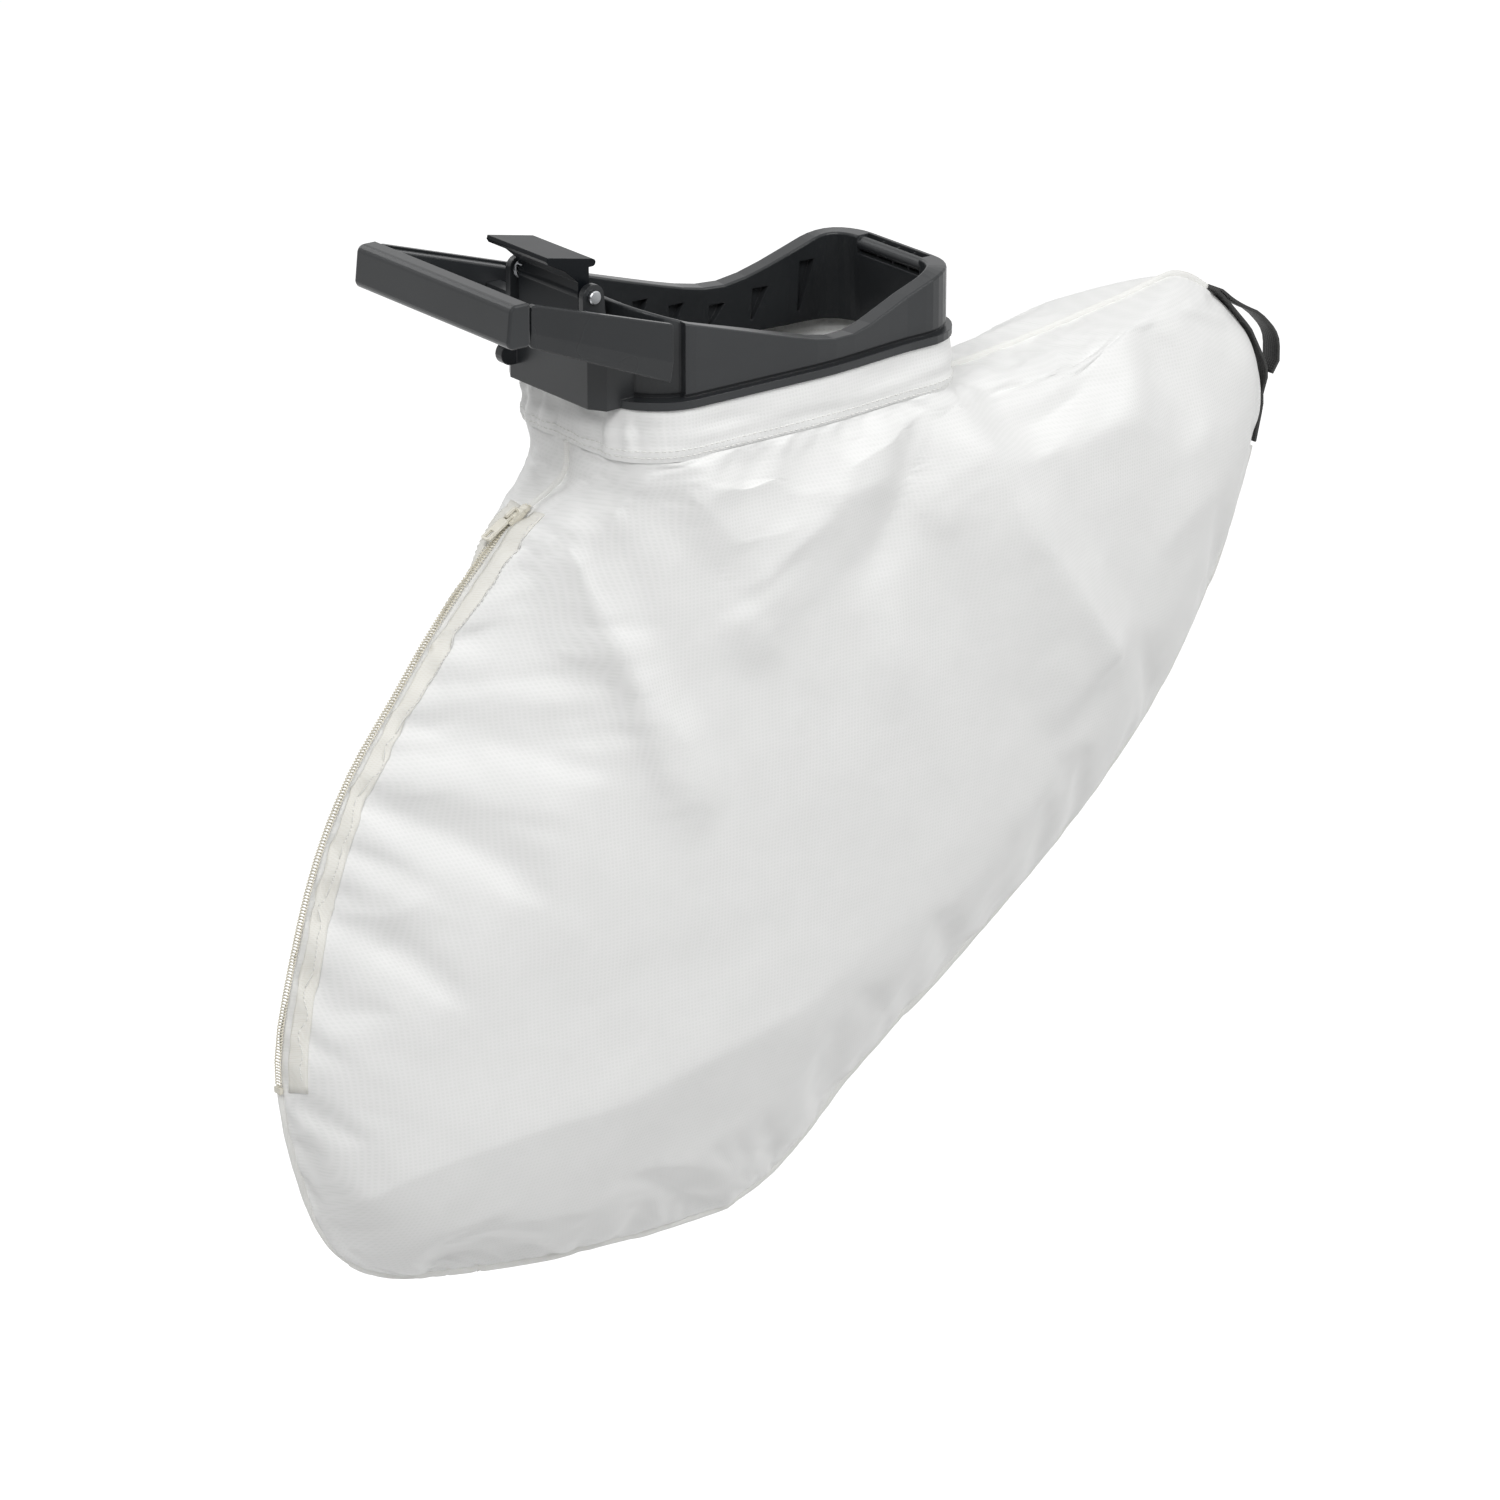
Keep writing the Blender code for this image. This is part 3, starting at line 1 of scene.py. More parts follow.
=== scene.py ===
"""Looks of a blower vacuum's collection bag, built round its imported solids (metres, +Z up)."""
from math import atan2, cos, exp, pi, radians, sin, sqrt

import bmesh
import bpy
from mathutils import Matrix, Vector, noise
from mathutils.bvhtree import BVHTree


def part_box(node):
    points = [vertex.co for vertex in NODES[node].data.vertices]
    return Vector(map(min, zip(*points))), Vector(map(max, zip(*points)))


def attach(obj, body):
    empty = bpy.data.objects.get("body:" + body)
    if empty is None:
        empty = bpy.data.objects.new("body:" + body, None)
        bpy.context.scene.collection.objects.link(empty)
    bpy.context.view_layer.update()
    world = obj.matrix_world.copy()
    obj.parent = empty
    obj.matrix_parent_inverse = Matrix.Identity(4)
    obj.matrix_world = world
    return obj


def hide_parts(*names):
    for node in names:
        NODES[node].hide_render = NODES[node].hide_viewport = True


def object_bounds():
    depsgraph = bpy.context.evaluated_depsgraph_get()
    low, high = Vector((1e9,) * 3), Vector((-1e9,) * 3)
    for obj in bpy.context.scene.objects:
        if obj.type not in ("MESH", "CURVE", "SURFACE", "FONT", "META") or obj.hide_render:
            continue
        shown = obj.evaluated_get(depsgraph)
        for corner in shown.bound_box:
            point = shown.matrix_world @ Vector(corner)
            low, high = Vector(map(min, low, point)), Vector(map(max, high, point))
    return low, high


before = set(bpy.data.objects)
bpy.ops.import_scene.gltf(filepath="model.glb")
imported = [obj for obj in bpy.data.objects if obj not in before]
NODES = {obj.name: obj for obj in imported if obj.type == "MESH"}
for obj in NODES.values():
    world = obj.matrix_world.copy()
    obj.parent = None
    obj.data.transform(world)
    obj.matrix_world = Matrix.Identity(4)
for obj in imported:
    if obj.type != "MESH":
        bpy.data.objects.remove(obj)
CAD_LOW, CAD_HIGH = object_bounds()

MM = 0.001
scene = bpy.context.scene

# View: one long lens from the latch's side, a little above the mouth.
# It stands about three metres away, so the bag shows almost no perspective.
VIEW_AZIMUTH = radians(-37.56)
VIEW_ELEVATION = radians(21.36)
VIEW_PLACE = Vector((-1.7762, -2.3169, 0.9302))
VIEW_LENS = 152.7

view_back = Vector((
    sin(VIEW_AZIMUTH) * cos(VIEW_ELEVATION),
    -cos(VIEW_AZIMUTH) * cos(VIEW_ELEVATION),
    sin(VIEW_ELEVATION),
))
camera = bpy.data.objects.new("camera", bpy.data.cameras.new("camera"))
scene.collection.objects.link(camera)
camera.data.lens = VIEW_LENS
camera.data.sensor_width = 36
camera.location = VIEW_PLACE
camera.rotation_mode = "QUATERNION"
camera.rotation_quaternion = (-view_back).to_track_quat("-Z", "Y")
scene.camera = camera
scene.view_settings.view_transform = "Standard"


# Backdrop: a white floor well below the bag, and white all round.
# To the camera, and in reflections, the paper is near white by its own glow and keeps the bag's
# shadow. To light it is a plain pale grey, so that it throws back no more than paper would.
FLOOR_DROP = 0.30
FLOOR_HALF_SIZE = 15.0
PAPER_GLOW = 0.70
SKY_LIGHT = 0.31


def srgb(code, alpha=1.0):
    """Linear colour of an sRGB hex value such as F2F1ED."""
    channels = []
    for k in (0, 2, 4):
        value = int(code[k:k + 2], 16) / 255
        channels.append(value / 12.92 if value <= 0.04045 else ((value + 0.055) / 1.055) ** 2.4)
    return (*channels, alpha)


def add_node(tree, kind, settings=None, links=None):
    """Add a shader node, set its sockets or properties, and link its inputs."""
    node = tree.nodes.new(kind)
    for name, value in (settings or {}).items():
        if isinstance(name, int) or name in node.inputs:
            node.inputs[name].default_value = value
        else:
            setattr(node, name, value)
    for name, socket in (links or {}).items():
        tree.links.new(socket, node.inputs[name])
    return node


def seen_directly(tree):
    """1 for rays from the camera, mirror-like reflections and clear glass, and 0 for light."""
    path = add_node(tree, "ShaderNodeLightPath")
    either = add_node(tree, "ShaderNodeMath", {"operation": "MAXIMUM"}, {
        0: path.outputs["Is Camera Ray"], 1: path.outputs["Is Glossy Ray"]})
    return add_node(tree, "ShaderNodeMath", {"operation": "MAXIMUM"}, {
        0: either.outputs[0], 1: path.outputs["Is Transmission Ray"]}).outputs[0]


floor_mesh = bpy.data.meshes.new("floor")
floor_z = CAD_LOW.z - FLOOR_DROP
floor_mesh.from_pydata([
    (-FLOOR_HALF_SIZE, -FLOOR_HALF_SIZE, floor_z), (FLOOR_HALF_SIZE, -FLOOR_HALF_SIZE, floor_z),
    (FLOOR_HALF_SIZE, FLOOR_HALF_SIZE, floor_z), (-FLOOR_HALF_SIZE, FLOOR_HALF_SIZE, floor_z),
], [], [(0, 1, 2, 3)])
floor = bpy.data.objects.new("floor", floor_mesh)
scene.collection.objects.link(floor)

# Matt card without any shine, so that the eye reads one even white with a soft shadow on it.
paper = bpy.data.materials.new("white studio paper, matt")
paper.use_nodes = True
tree = paper.node_tree
tree.nodes.clear()
matt = add_node(tree, "ShaderNodeBsdfDiffuse", {"Color": srgb("E6E6E6")})
bounce = add_node(tree, "ShaderNodeBsdfDiffuse", {"Color": srgb("DADADA")})
glow = add_node(tree, "ShaderNodeEmission", {"Color": srgb("FFFFFF"), "Strength": PAPER_GLOW})
both = add_node(tree, "ShaderNodeAddShader", None, {0: matt.outputs[0], 1: glow.outputs[0]})
mixed = add_node(tree, "ShaderNodeMixShader", None, {
    0: seen_directly(tree), 1: bounce.outputs[0], 2: both.outputs[0]})
add_node(tree, "ShaderNodeOutputMaterial", None, {"Surface": mixed.outputs[0]})
floor_mesh.materials.append(paper)

# The room is white where it is seen or mirrored, and lights the bag far more dimly than that.
world = bpy.data.worlds.new("white studio")
scene.world = world
world.use_nodes = True
tree = world.node_tree
tree.nodes.clear()
strength = add_node(tree, "ShaderNodeMapRange", {"To Min": SKY_LIGHT, "To Max": 1.0}, {
    "Value": seen_directly(tree)})
sky = add_node(tree, "ShaderNodeBackground", {"Color": srgb("FFFFFF")}, {
    "Strength": strength.outputs[0]})
add_node(tree, "ShaderNodeOutputWorld", None, {"Surface": sky.outputs[0]})


def add_lamp(name, place, target, size, power):
    """Square soft box that faces a point of the bag."""
    lamp = bpy.data.objects.new(name, bpy.data.lights.new(name, "AREA"))
    scene.collection.objects.link(lamp)
    lamp.data.shape = "SQUARE"
    lamp.data.size = size
    lamp.data.energy = power
    lamp.location = place
    lamp.rotation_mode = "QUATERNION"
    lamp.rotation_quaternion = (Vector(target) - Vector(place)).to_track_quat("-Z", "Y")


# Where each soft box stands and how wide it is, in metres, and its power in watts.
SOFT_BOXES = (
    ("soft box above the latch", (-1.5, -1.3, 1.7), 0.9, 29),
    ("soft box at the camera's right", (1.3, -1.9, 1.7), 1.2, 32),
    ("soft box overhead", (0.2, 0.1, 2.0), 1.0, 3),
    ("soft box behind", (-0.3, 2.6, 1.2), 1.4, 18),
)
BAG_MIDDLE = (CAD_LOW + CAD_HIGH) / 2
for name, place, size, power in SOFT_BOXES:
    add_lamp(name, place, BAG_MIDDLE, size, power)


# Collar, latch lever, handle and covers: glass-filled nylon, injection moulded in dark grey.
# The mould leaves a fine even grain with a satin shine, and its edges are slightly rounded.
# The grain is drawn coarser than the real one, so that it shows.
NYLON_DARK = srgb("242628")
NYLON_LIGHT = srgb("303234")
GRAIN_SIZE = 0.7 * MM
FLOW_SIZE = 45 * MM
MOULD_EDGE_RADIUS = 0.7 * MM


def start_material(name):
    """New material with a Principled shader, and its object coordinates."""
    material = bpy.data.materials.new(name)
    material.use_nodes = True
    shader = material.node_tree.nodes["Principled BSDF"]
    place = add_node(material.node_tree, "ShaderNodeTexCoord").outputs["Object"]
    return material, material.node_tree, shader, place


def moulded_surface(name, dark, light, roughness, shine=0.5):
    """What a mould or die leaves: a faintly cloudy tint, an even grain and edges a little rounded."""
    material, tree, shader, place = start_material(name)
    flow = add_node(tree, "ShaderNodeTexNoise", {"Scale": 1 / FLOW_SIZE, "Detail": 2.0}, {
        "Vector": place})
    tint = add_node(tree, "ShaderNodeMix", {"data_type": "RGBA"}, {"Factor": flow.outputs["Fac"]})
    tint.inputs[6].default_value = dark
    tint.inputs[7].default_value = light
    tree.links.new(tint.outputs[2], shader.inputs["Base Color"])
    satin = add_node(tree, "ShaderNodeMapRange", {
        "To Min": roughness - 0.05, "To Max": roughness + 0.06}, {"Value": flow.outputs["Fac"]})
    tree.links.new(satin.outputs[0], shader.inputs["Roughness"])
    edges = add_node(tree, "ShaderNodeBevel", {"samples": 4, "Radius": MOULD_EDGE_RADIUS})
    grain = add_node(tree, "ShaderNodeTexNoise", {"Scale": 1 / GRAIN_SIZE, "Detail": 1.0}, {
        "Vector": place})
    bump = add_node(tree, "ShaderNodeBump", {"Strength": 0.12, "Distance": 0.05 * MM}, {
        "Height": grain.outputs["Fac"], "Normal": edges.outputs[0]})
    tree.links.new(bump.outputs[0], shader.inputs["Normal"])
    shader.inputs["IOR"].default_value = 1.53
    shader.inputs["Specular IOR Level"].default_value = shine
    return material


# Dark grey with a broad soft shine, which shows how the ring and the grip curve.
collar_nylon = moulded_surface("glass-filled nylon, moulded, dark grey", NYLON_DARK, NYLON_LIGHT,
                               roughness=0.30, shine=0.30)
# From a smoother mould, with a slightly sharper shine on the cover's flat face. Its tone, a shade
# darker than the collar's, is painted shade for the shade the covers lie in.
cover_nylon_painted_shade = moulded_surface("nylon cover, moulded, smooth grey, painted shade", srgb("1F2123"), srgb("292B2D"),
                              roughness=0.28, shine=0.25)
# Nearly black with a cold tint and little shine. The darkness and the cold tint are painted shade,
# for the shade and cold light on the lever's face, and make it darker than the collar's nylon.
lever_nylon_painted_shade = moulded_surface("nylon latch lever, moulded, painted blue-black shade", srgb("0C0F12"), srgb("12161A"),
                              roughness=0.36, shine=0.10)


def paint(node, material):
    """Give a solid that keeps its shape its finish."""
    NODES[node].data.materials.clear()
    NODES[node].data.materials.append(material)


for node in ("collar_frame", "handle_loop"):
    paint(node, collar_nylon)
for node in ("side_cover_near", "side_cover_far"):
    paint(node, cover_nylon_painted_shade)
paint("latch_lever", lever_nylon_painted_shade)


# Pin, spring and screws: bright zinc-plated steel and oil-tempered spring wire.
# Small parts, turned or drawn, with fine cloudy marks that break up their shine.
MARK_SIZE = 0.5 * MM


def plated_steel(name, dark, light, roughness):
    """Steel with the fine marks that plating or drawing leaves."""
    material, tree, shader, place = start_material(name)
    turning = add_node(tree, "ShaderNodeTexNoise", {"Scale": 1 / MARK_SIZE, "Detail": 2.0}, {
        "Vector": place})
    tint = add_node(tree, "ShaderNodeMix", {"data_type": "RGBA"}, {"Factor": turning.outputs["Fac"]})
    tint.inputs[6].default_value = dark
    tint.inputs[7].default_value = light
    tree.links.new(tint.outputs[2], shader.inputs["Base Color"])
    shader.inputs["Metallic"].default_value = 1.0
    shader.inputs["Roughness"].default_value = roughness
    bump = add_node(tree, "ShaderNodeBump", {"Strength": 0.1, "Distance": 0.02 * MM}, {
        "Height": turning.outputs["Fac"]})
    tree.links.new(bump.outputs[0], shader.inputs["Normal"])
    return material


# Bright cool grey with a blurred highlight.
zinc_steel = plated_steel("steel, zinc plated", srgb("A9ABAE"), srgb("C4C6C8"), roughness=0.32)
# Darker than the pin, with a duller highlight along each turn.
spring_wire = plated_steel("spring steel wire, drawn", srgb("6E6F72"), srgb("8A8B8E"), roughness=0.36)
for node in ("latch_pin", "handle_screw_near", "handle_screw_far"):
    paint(node, zinc_steel)
paint("latch_spring", spring_wire)


# Bag cloth: white polyester, plain woven and coated on the inside, sewn from two like panels.
# It hangs from the collar, filled with air. Folds run down from the cuff's seam, where the cloth
# was pulled in, and small puckers stand along the zip.
CLOTH_LIT = srgb("F4F4F3")
CLOTH_SHADE = srgb("EBECEA")
SEAM_HALF_WIDTH = 2 * MM
SEAM_HALF_GAP = 1 * MM
SEAM_WELD = 4.4 * MM
ZIP_LOW_Z = -0.441
ZIP_MARGIN = 20 * MM
NECK_Z = -29 * MM
SKIN_TURN = radians(48)
WEAVE_PITCH = 1.9 * MM
WEAVE_SLANT = 0.6
SLUB_SIZE = 14 * MM


def outer_skin(node, core):
    """The outward faces of a CAD sheet, as one patch of quads that ends at its sharp edges."""
    skin = bmesh.new()
    skin.from_mesh(NODES[node].data)
    bmesh.ops.remove_doubles(skin, verts=skin.verts, dist=0.002 * MM)
    skin.normal_update()

    def looks_out(face):
        centre = face.calc_center_median()
        return face.normal.dot((centre - core(centre)).normalized()) * face.calc_area()

    first = max(skin.faces, key=looks_out)
    patch, front = {first}, [first]
    while front:
        face = front.pop()
        for edge in face.edges:
            for other in edge.link_faces:
                turned = face.normal.angle(other.normal)
                if other not in patch and turned < SKIN_TURN and looks_out(other) > 0:
                    patch.add(other)
                    front.append(other)
    others = [face for face in skin.faces if face not in patch]
    bmesh.ops.delete(skin, geom=others, context="FACES")
    bmesh.ops.join_triangles(skin, faces=skin.faces, angle_face_threshold=radians(60),
                             angle_shape_threshold=radians(80))
    return skin


CORE_TOP_Z = -90 * MM
CORE_BOTTOM_Z = -330 * MM
CORE_REACH = 200 * MM


def bag_core(point):
    """Point in the middle of the bag, out into its far lobe, that a piece of its wall looks away from."""
    z = min(max(point.z, CORE_BOTTOM_Z), CORE_TOP_Z)
    latch_side = (20 + 0.25 * (z / MM + 60)) * MM
    reach = CORE_REACH * (z - CORE_BOTTOM_Z) / (CORE_TOP_Z - CORE_BOTTOM_Z)
    return Vector((min(max(point.x, latch_side), latch_side + reach), 0, z))


def object_from(skin, name, material):
    """A smooth object from a mesh that is being edited."""
    mesh = bpy.data.meshes.new(name)
    skin.to_mesh(mesh)
    skin.free()
    if material:
        mesh.materials.append(material)
    mesh.shade_smooth()
    piece = bpy.data.objects.new(name, mesh)
    scene.collection.objects.link(piece)
    return piece


def apply_modifiers(piece):
    """Put a piece's modifiers into its mesh."""
    bpy.context.view_layer.update()
    shown = piece.evaluated_get(bpy.context.evaluated_depsgraph_get())
    made = bpy.data.meshes.new_from_object(shown)
    piece.modifiers.clear()
    made.name = piece.name
    piece.data = made


def subdivide(piece, levels):
    """Round a piece's faces off, and keep the corners of its open edges."""
    smooth = piece.modifiers.new("smooth", "SUBSURF")
    smooth.levels = smooth.render_levels = levels
    smooth.boundary_smooth = "PRESERVE_CORNERS"
    apply_modifiers(piece)


def woven(name, lit, shade, pitch, slant, relief, roughness):
    """Plain weave of two sets of threads, slanted so that it also shows on sides that face X."""
    material, tree, shader, place = start_material(name)
    axes = add_node(tree, "ShaderNodeSeparateXYZ", None, {"Vector": place})
    across = add_node(tree, "ShaderNodeMath", {"operation": "MULTIPLY_ADD", 1: slant}, {
        0: axes.outputs["Y"], 2: axes.outputs["X"]})
    threads = []
    for run in (across.outputs[0], axes.outputs["Z"]):
        wave = add_node(tree, "ShaderNodeMath", {"operation": "MULTIPLY", 1: 2 * pi / pitch}, {0: run})
        threads.append(add_node(tree, "ShaderNodeMath", {"operation": "SINE"}, {0: wave.outputs[0]}))
    weave = add_node(tree, "ShaderNodeMath", {"operation": "MAXIMUM"}, {
        0: threads[0].outputs[0], 1: threads[1].outputs[0]})
    slubs = add_node(tree, "ShaderNodeTexNoise", {"Scale": 1 / SLUB_SIZE, "Detail": 3.0}, {
        "Vector": place})
    level = add_node(tree, "ShaderNodeMapRange", {
        "From Min": -1.0, "From Max": 1.0, "To Min": 0.0, "To Max": 0.6}, {"Value": weave.outputs[0]})
    share = add_node(tree, "ShaderNodeMath", {"operation": "MULTIPLY_ADD", 1: 0.6}, {
        0: slubs.outputs["Fac"], 2: level.outputs[0]})
    # Painted light and shade: the thread crests get the lit colour and the gaps between them get the shade
    # colour. The slubs add a random tone.
    tint = add_node(tree, "ShaderNodeMix", {"data_type": "RGBA", 6: shade, 7: lit}, {
        "Factor": share.outputs[0]})
    tree.links.new(tint.outputs[2], shader.inputs["Base Color"])
    shader.inputs["Roughness"].default_value = roughness
    shader.inputs["IOR"].default_value = 1.45
    bump = add_node(tree, "ShaderNodeBump", {"Strength": relief, "Distance": pitch / 20}, {
        "Height": weave.outputs[0]})
    tree.links.new(bump.outputs[0], shader.inputs["Normal"])
    return material


# Soft white cloth, with a faint even texture and only a dull sheen on its ridges. The texture's
# colour is painted light and shade on the weave. The real weave has about 12 threads to the
# centimetre, so it is drawn coarser to show at all.
bag_polyester = woven("polyester, plain woven, coated white", CLOTH_LIT, CLOTH_SHADE,
                      WEAVE_PITCH, WEAVE_SLANT, relief=0.22, roughness=0.55)

# The two panels are joined at their seam first, so that they swell together.
form = bmesh.new()
for node in ("bag_panel_near", "bag_panel_far"):
    skin = outer_skin(node, bag_core)
    rim = [face for face in skin.faces
           if min(abs(vertex.co.y) for vertex in face.verts) < SEAM_HALF_GAP]
    bmesh.ops.delete(skin, geom=rim, context="FACES")
    for vertex in skin.verts:
        if abs(vertex.co.y) < SEAM_HALF_WIDTH:
            vertex.co.y = 0.0
    half = bpy.data.meshes.new(node)
    skin.to_mesh(half)
    skin.free()
    form.from_mesh(half)
    bpy.data.meshes.remove(half)
bmesh.ops.remove_doubles(form, verts=form.verts, dist=0.05 * MM)
seam_points = [vertex for vertex in form.verts if vertex.co.y == 0.0]
bmesh.ops.remove_doubles(form, verts=seam_points, dist=SEAM_WELD)
open_edges = [edge for edge in form.edges if edge.is_boundary
              and max(vertex.co.z for vertex in edge.verts) < NECK_Z - 2 * MM]
bmesh.ops.holes_fill(form, edges=open_edges, sides=4)
bmesh.ops.join_triangles(form, faces=form.faces, angle_face_threshold=radians(60),
                         angle_shape_threshold=radians(100))
bmesh.ops.recalc_face_normals(form, faces=form.faces)
crease = form.edges.layers.float.new("crease_edge")
for edge in form.edges:
    if all(vertex.co.y == 0.0 for vertex in edge.verts):
        edge[crease] = 1.0
ZIP_SIDE = sorted((vertex.co.copy() for vertex in form.verts
                   if vertex.co.y == 0.0 and vertex.co.z > ZIP_LOW_Z
                   and vertex.co.x < bag_core(vertex.co).x - ZIP_MARGIN), key=lambda place: -place.z)
bag_cloth = object_from(form, "bag_cloth", None)
subdivide(bag_cloth, 2)


# Swelling: air presses the cloth out, and a little spare cloth puckers where the seams hold it.
AIR_PRESSURE = 3.0
SPARE_CLOTH = 0.028
SWELL_FRAMES = 18
SWELL_LIMIT = 9 * MM


def swell(piece):
    """Fill a piece with air, held at its seam and at the neck, no further than the limit."""
    held = piece.vertex_groups.new(name="held by the seams")
    rest = [vertex.co.copy() for vertex in piece.data.vertices]
    sewn = [k for k, place in enumerate(rest)
            if abs(place.y) < 0.2 * MM or place.z > NECK_Z - 0.4 * MM]
    held.add(sewn, 1.0, "REPLACE")
    cloth = piece.modifiers.new("air", "CLOTH")
    cloth.settings.vertex_group_mass = held.name
    cloth.settings.quality = 5
    cloth.settings.mass = 0.15
    cloth.settings.tension_stiffness = 20
    cloth.settings.compression_stiffness = 20
    cloth.settings.bending_stiffness = 0.4
    cloth.settings.use_pressure = True
    cloth.settings.uniform_pressure_force = AIR_PRESSURE
    cloth.settings.shrink_min = -SPARE_CLOTH
    cloth.settings.effector_weights.gravity = 0.0
    cloth.collision_settings.use_collision = False
    cloth.point_cache.frame_start = 1
    cloth.point_cache.frame_end = SWELL_FRAMES
    for number in range(1, SWELL_FRAMES + 1):
        scene.frame_set(number)
    swollen = piece.evaluated_get(bpy.context.evaluated_depsgraph_get()).to_mesh()
    moves = [vertex.co - place for vertex, place in zip(swollen.vertices, rest)]
    piece.modifiers.clear()
    piece.vertex_groups.clear()
    for vertex, place, move in zip(piece.data.vertices, rest, moves):
        vertex.co = place + move * min(1.0, SWELL_LIMIT / max(move.length, 0.01 * MM))


swell(bag_cloth)
subdivide(bag_cloth, 1)

# Folds of the near panel, each as points (x, z) along its crest, its height, how wide it falls away
# to the left and to the right of its run, and how long it takes to rise and to end, all in mm.
# The far panel has the same folds, moved along and lower.
FOLDS = [
    ([(92, -34), (107, -71), (142, -125), (172, -165), (204, -202)], 14, 30, 56, 90, 26),
    ([(93, -36), (94, -85), (102, -145), (116, -196)], 3.5, 22, 22, 60, 34),
    ([(148, -165), (157, -195), (159, -232)], 3.0, 18, 24, 25, 30),
    ([(78, -33), (65, -58), (66, -81), (86, -103)], 3.5, 30, 14, 25, 20),
    ([(72, -40), (50, -75), (33, -106), (28, -130)], -6, 26, 26, 30, 35),
    ([(80, -33), (55, -40), (17, -51), (1, -70), (-24, -85), (-49, -106)], 5.5, 40, 18, 40, 20),
    ([(-49, -104), (-36, -129), (-19, -146)], 5, 46, 20, 12, 32),
    ([(-60, -42), (-30, -46), (-4, -58)], -3.2, 24, 24, 24, 24),
    ([(-83, -36), (-66, -56), (-50, -75), (-26, -74), (-4, -68)], 2.6, 20, 20, 24, 24),
    ([(-88, -33), (-98, -50), (-110, -67)], 4, 13, 13, 12, 14),
    ([(38, -120), (45, -161), (49, -194)], 4, 24, 22, 40, 40),
    ([(-124, -60), (-118, -84), (-108, -118), (-92, -154), (-80, -171), (-70, -205), (-73, -232)],
     6.5, 18, 32, 20, 40),
    ([(-104, -120), (-101, -146), (-92, -178), (-84, -200)], 3, 12, 12, 20, 16),
    ([(-262, -384), (-225, -366), (-196, -359), (-159, -354), (-119, -352), (-75, -343), (-3, -328),
      (60, -300)], 6, 60, 55, 25, 90),
    ([(-236, -176), (-205, -180), (-186, -176)], 2.5, 16, 18, 16, 20),
    ([(-250, -232), (-226, -236), (-196, -224)], 3, 18, 18, 16, 24),
    ([(150, -32), (190, -60), (240, -90)], 2.5, 30, 26, 40, 40),
    ([(222, -150), (250, -130), (282, -120)], 3, 28, 24, 30, 30),
]
FAR_SHIFT = 17 * MM
FAR_SHARE = 0.7
PUCKER_HEIGHT = 1.5 * MM
PUCKER_LENGTH = 15 * MM
PUCKER_REACH = 16 * MM
NECK_GATHER = 1.4
NECK_GATHER_LOW_Z = -85 * MM
NECK_GATHER_FADE = 30 * MM
NECK_FADE = 9 * MM
SEAM_FADE = 15 * MM
CRUMPLE_HEIGHT = 1.3 * MM
CRUMPLE_SIZE = 70 * MM


def smoothstep(value):
    """Soft rise from 0 to 1."""
    value = min(max(value, 0.0), 1.0)
    return value * value * (3 - 2 * value)


def fold_rise(x, z, fold):
    """Height of one fold at a point, from the nearest place on its crest."""
    crest, height, left, right, rise, end = fold
    reach = max(left, right) * MM
    nearest, ran, best = None, 0.0, 1e9
    total = 0.0
    for (ax, az), (bx, bz) in zip(crest, crest[1:]):
        ax, az, bx, bz = ax * MM, az * MM, bx * MM, bz * MM
        dx, dz = bx - ax, bz - az
        length = sqrt(dx * dx + dz * dz)
        share = min(max(((x - ax) * dx + (z - az) * dz) / (length * length), 0.0), 1.0)
        px, pz = ax + dx * share, az + dz * share
        distance = sqrt((x - px) ** 2 + (z - pz) ** 2)
        if distance < best:
            best = distance
            nearest = dx * (z - az) - dz * (x - ax)
            ran = total + length * share
        total += length
    if best > reach:
        return 0.0
    wide = (left if nearest > 0 else right) * MM
    side = max(1.0 - best / wide, 0.0)
    crest_share = smoothstep(ran / (rise * MM)) * smoothstep((total - ran) / (end * MM))
    return height * MM * side ** 1.35 * (0.15 + 0.85 * crest_share)


def fold_bounds(fold):
    """Lowest and highest x and z that a fold reaches."""
    xs, zs = [x for x, z in fold[0]], [z for x, z in fold[0]]
    reach = max(fold[2], fold[3])
    return [(min(xs) - reach) * MM, (max(xs) + reach) * MM,
            (min(zs) - reach) * MM, (max(zs) + reach) * MM]


FOLD_BOUNDS = [fold_bounds(fold) for fold in FOLDS]


def bag_relief(place):
    """How far the folds, puckers and crumples lift one point of the cloth."""
    far = place.y > 0
    x, z = place.x - (FAR_SHIFT if far else 0.0), place.z
    folds = 0.0
    for fold, (x_low, x_high, z_low, z_high) in zip(FOLDS, FOLD_BOUNDS):
        if x_low < x < x_high and z_low < z < z_high:
            folds += fold_rise(x, z, fold)
    free = smoothstep(abs(place.y) / SEAM_FADE)
    below = smoothstep((NECK_Z - z) / NECK_FADE)
    crumple = noise.noise(place / CRUMPLE_SIZE) + 0.5 * noise.noise(place / (CRUMPLE_SIZE * 0.4))
    lift = folds * (FAR_SHARE if far else 1.0) * free + CRUMPLE_HEIGHT * crumple * free
    pucker = noise.noise(Vector((place.x / PUCKER_LENGTH, 3.0 if far else 0.0, place.z / PUCKER_LENGTH)))
    if x < 0:
        pucker *= 1 + NECK_GATHER * smoothstep((z - NECK_GATHER_LOW_Z) / NECK_GATHER_FADE)
    beside_seam = smoothstep(abs(place.y) / (3 * MM))
    lift += PUCKER_HEIGHT * pucker * beside_seam * exp(-abs(place.y) / PUCKER_REACH)
    return lift * below


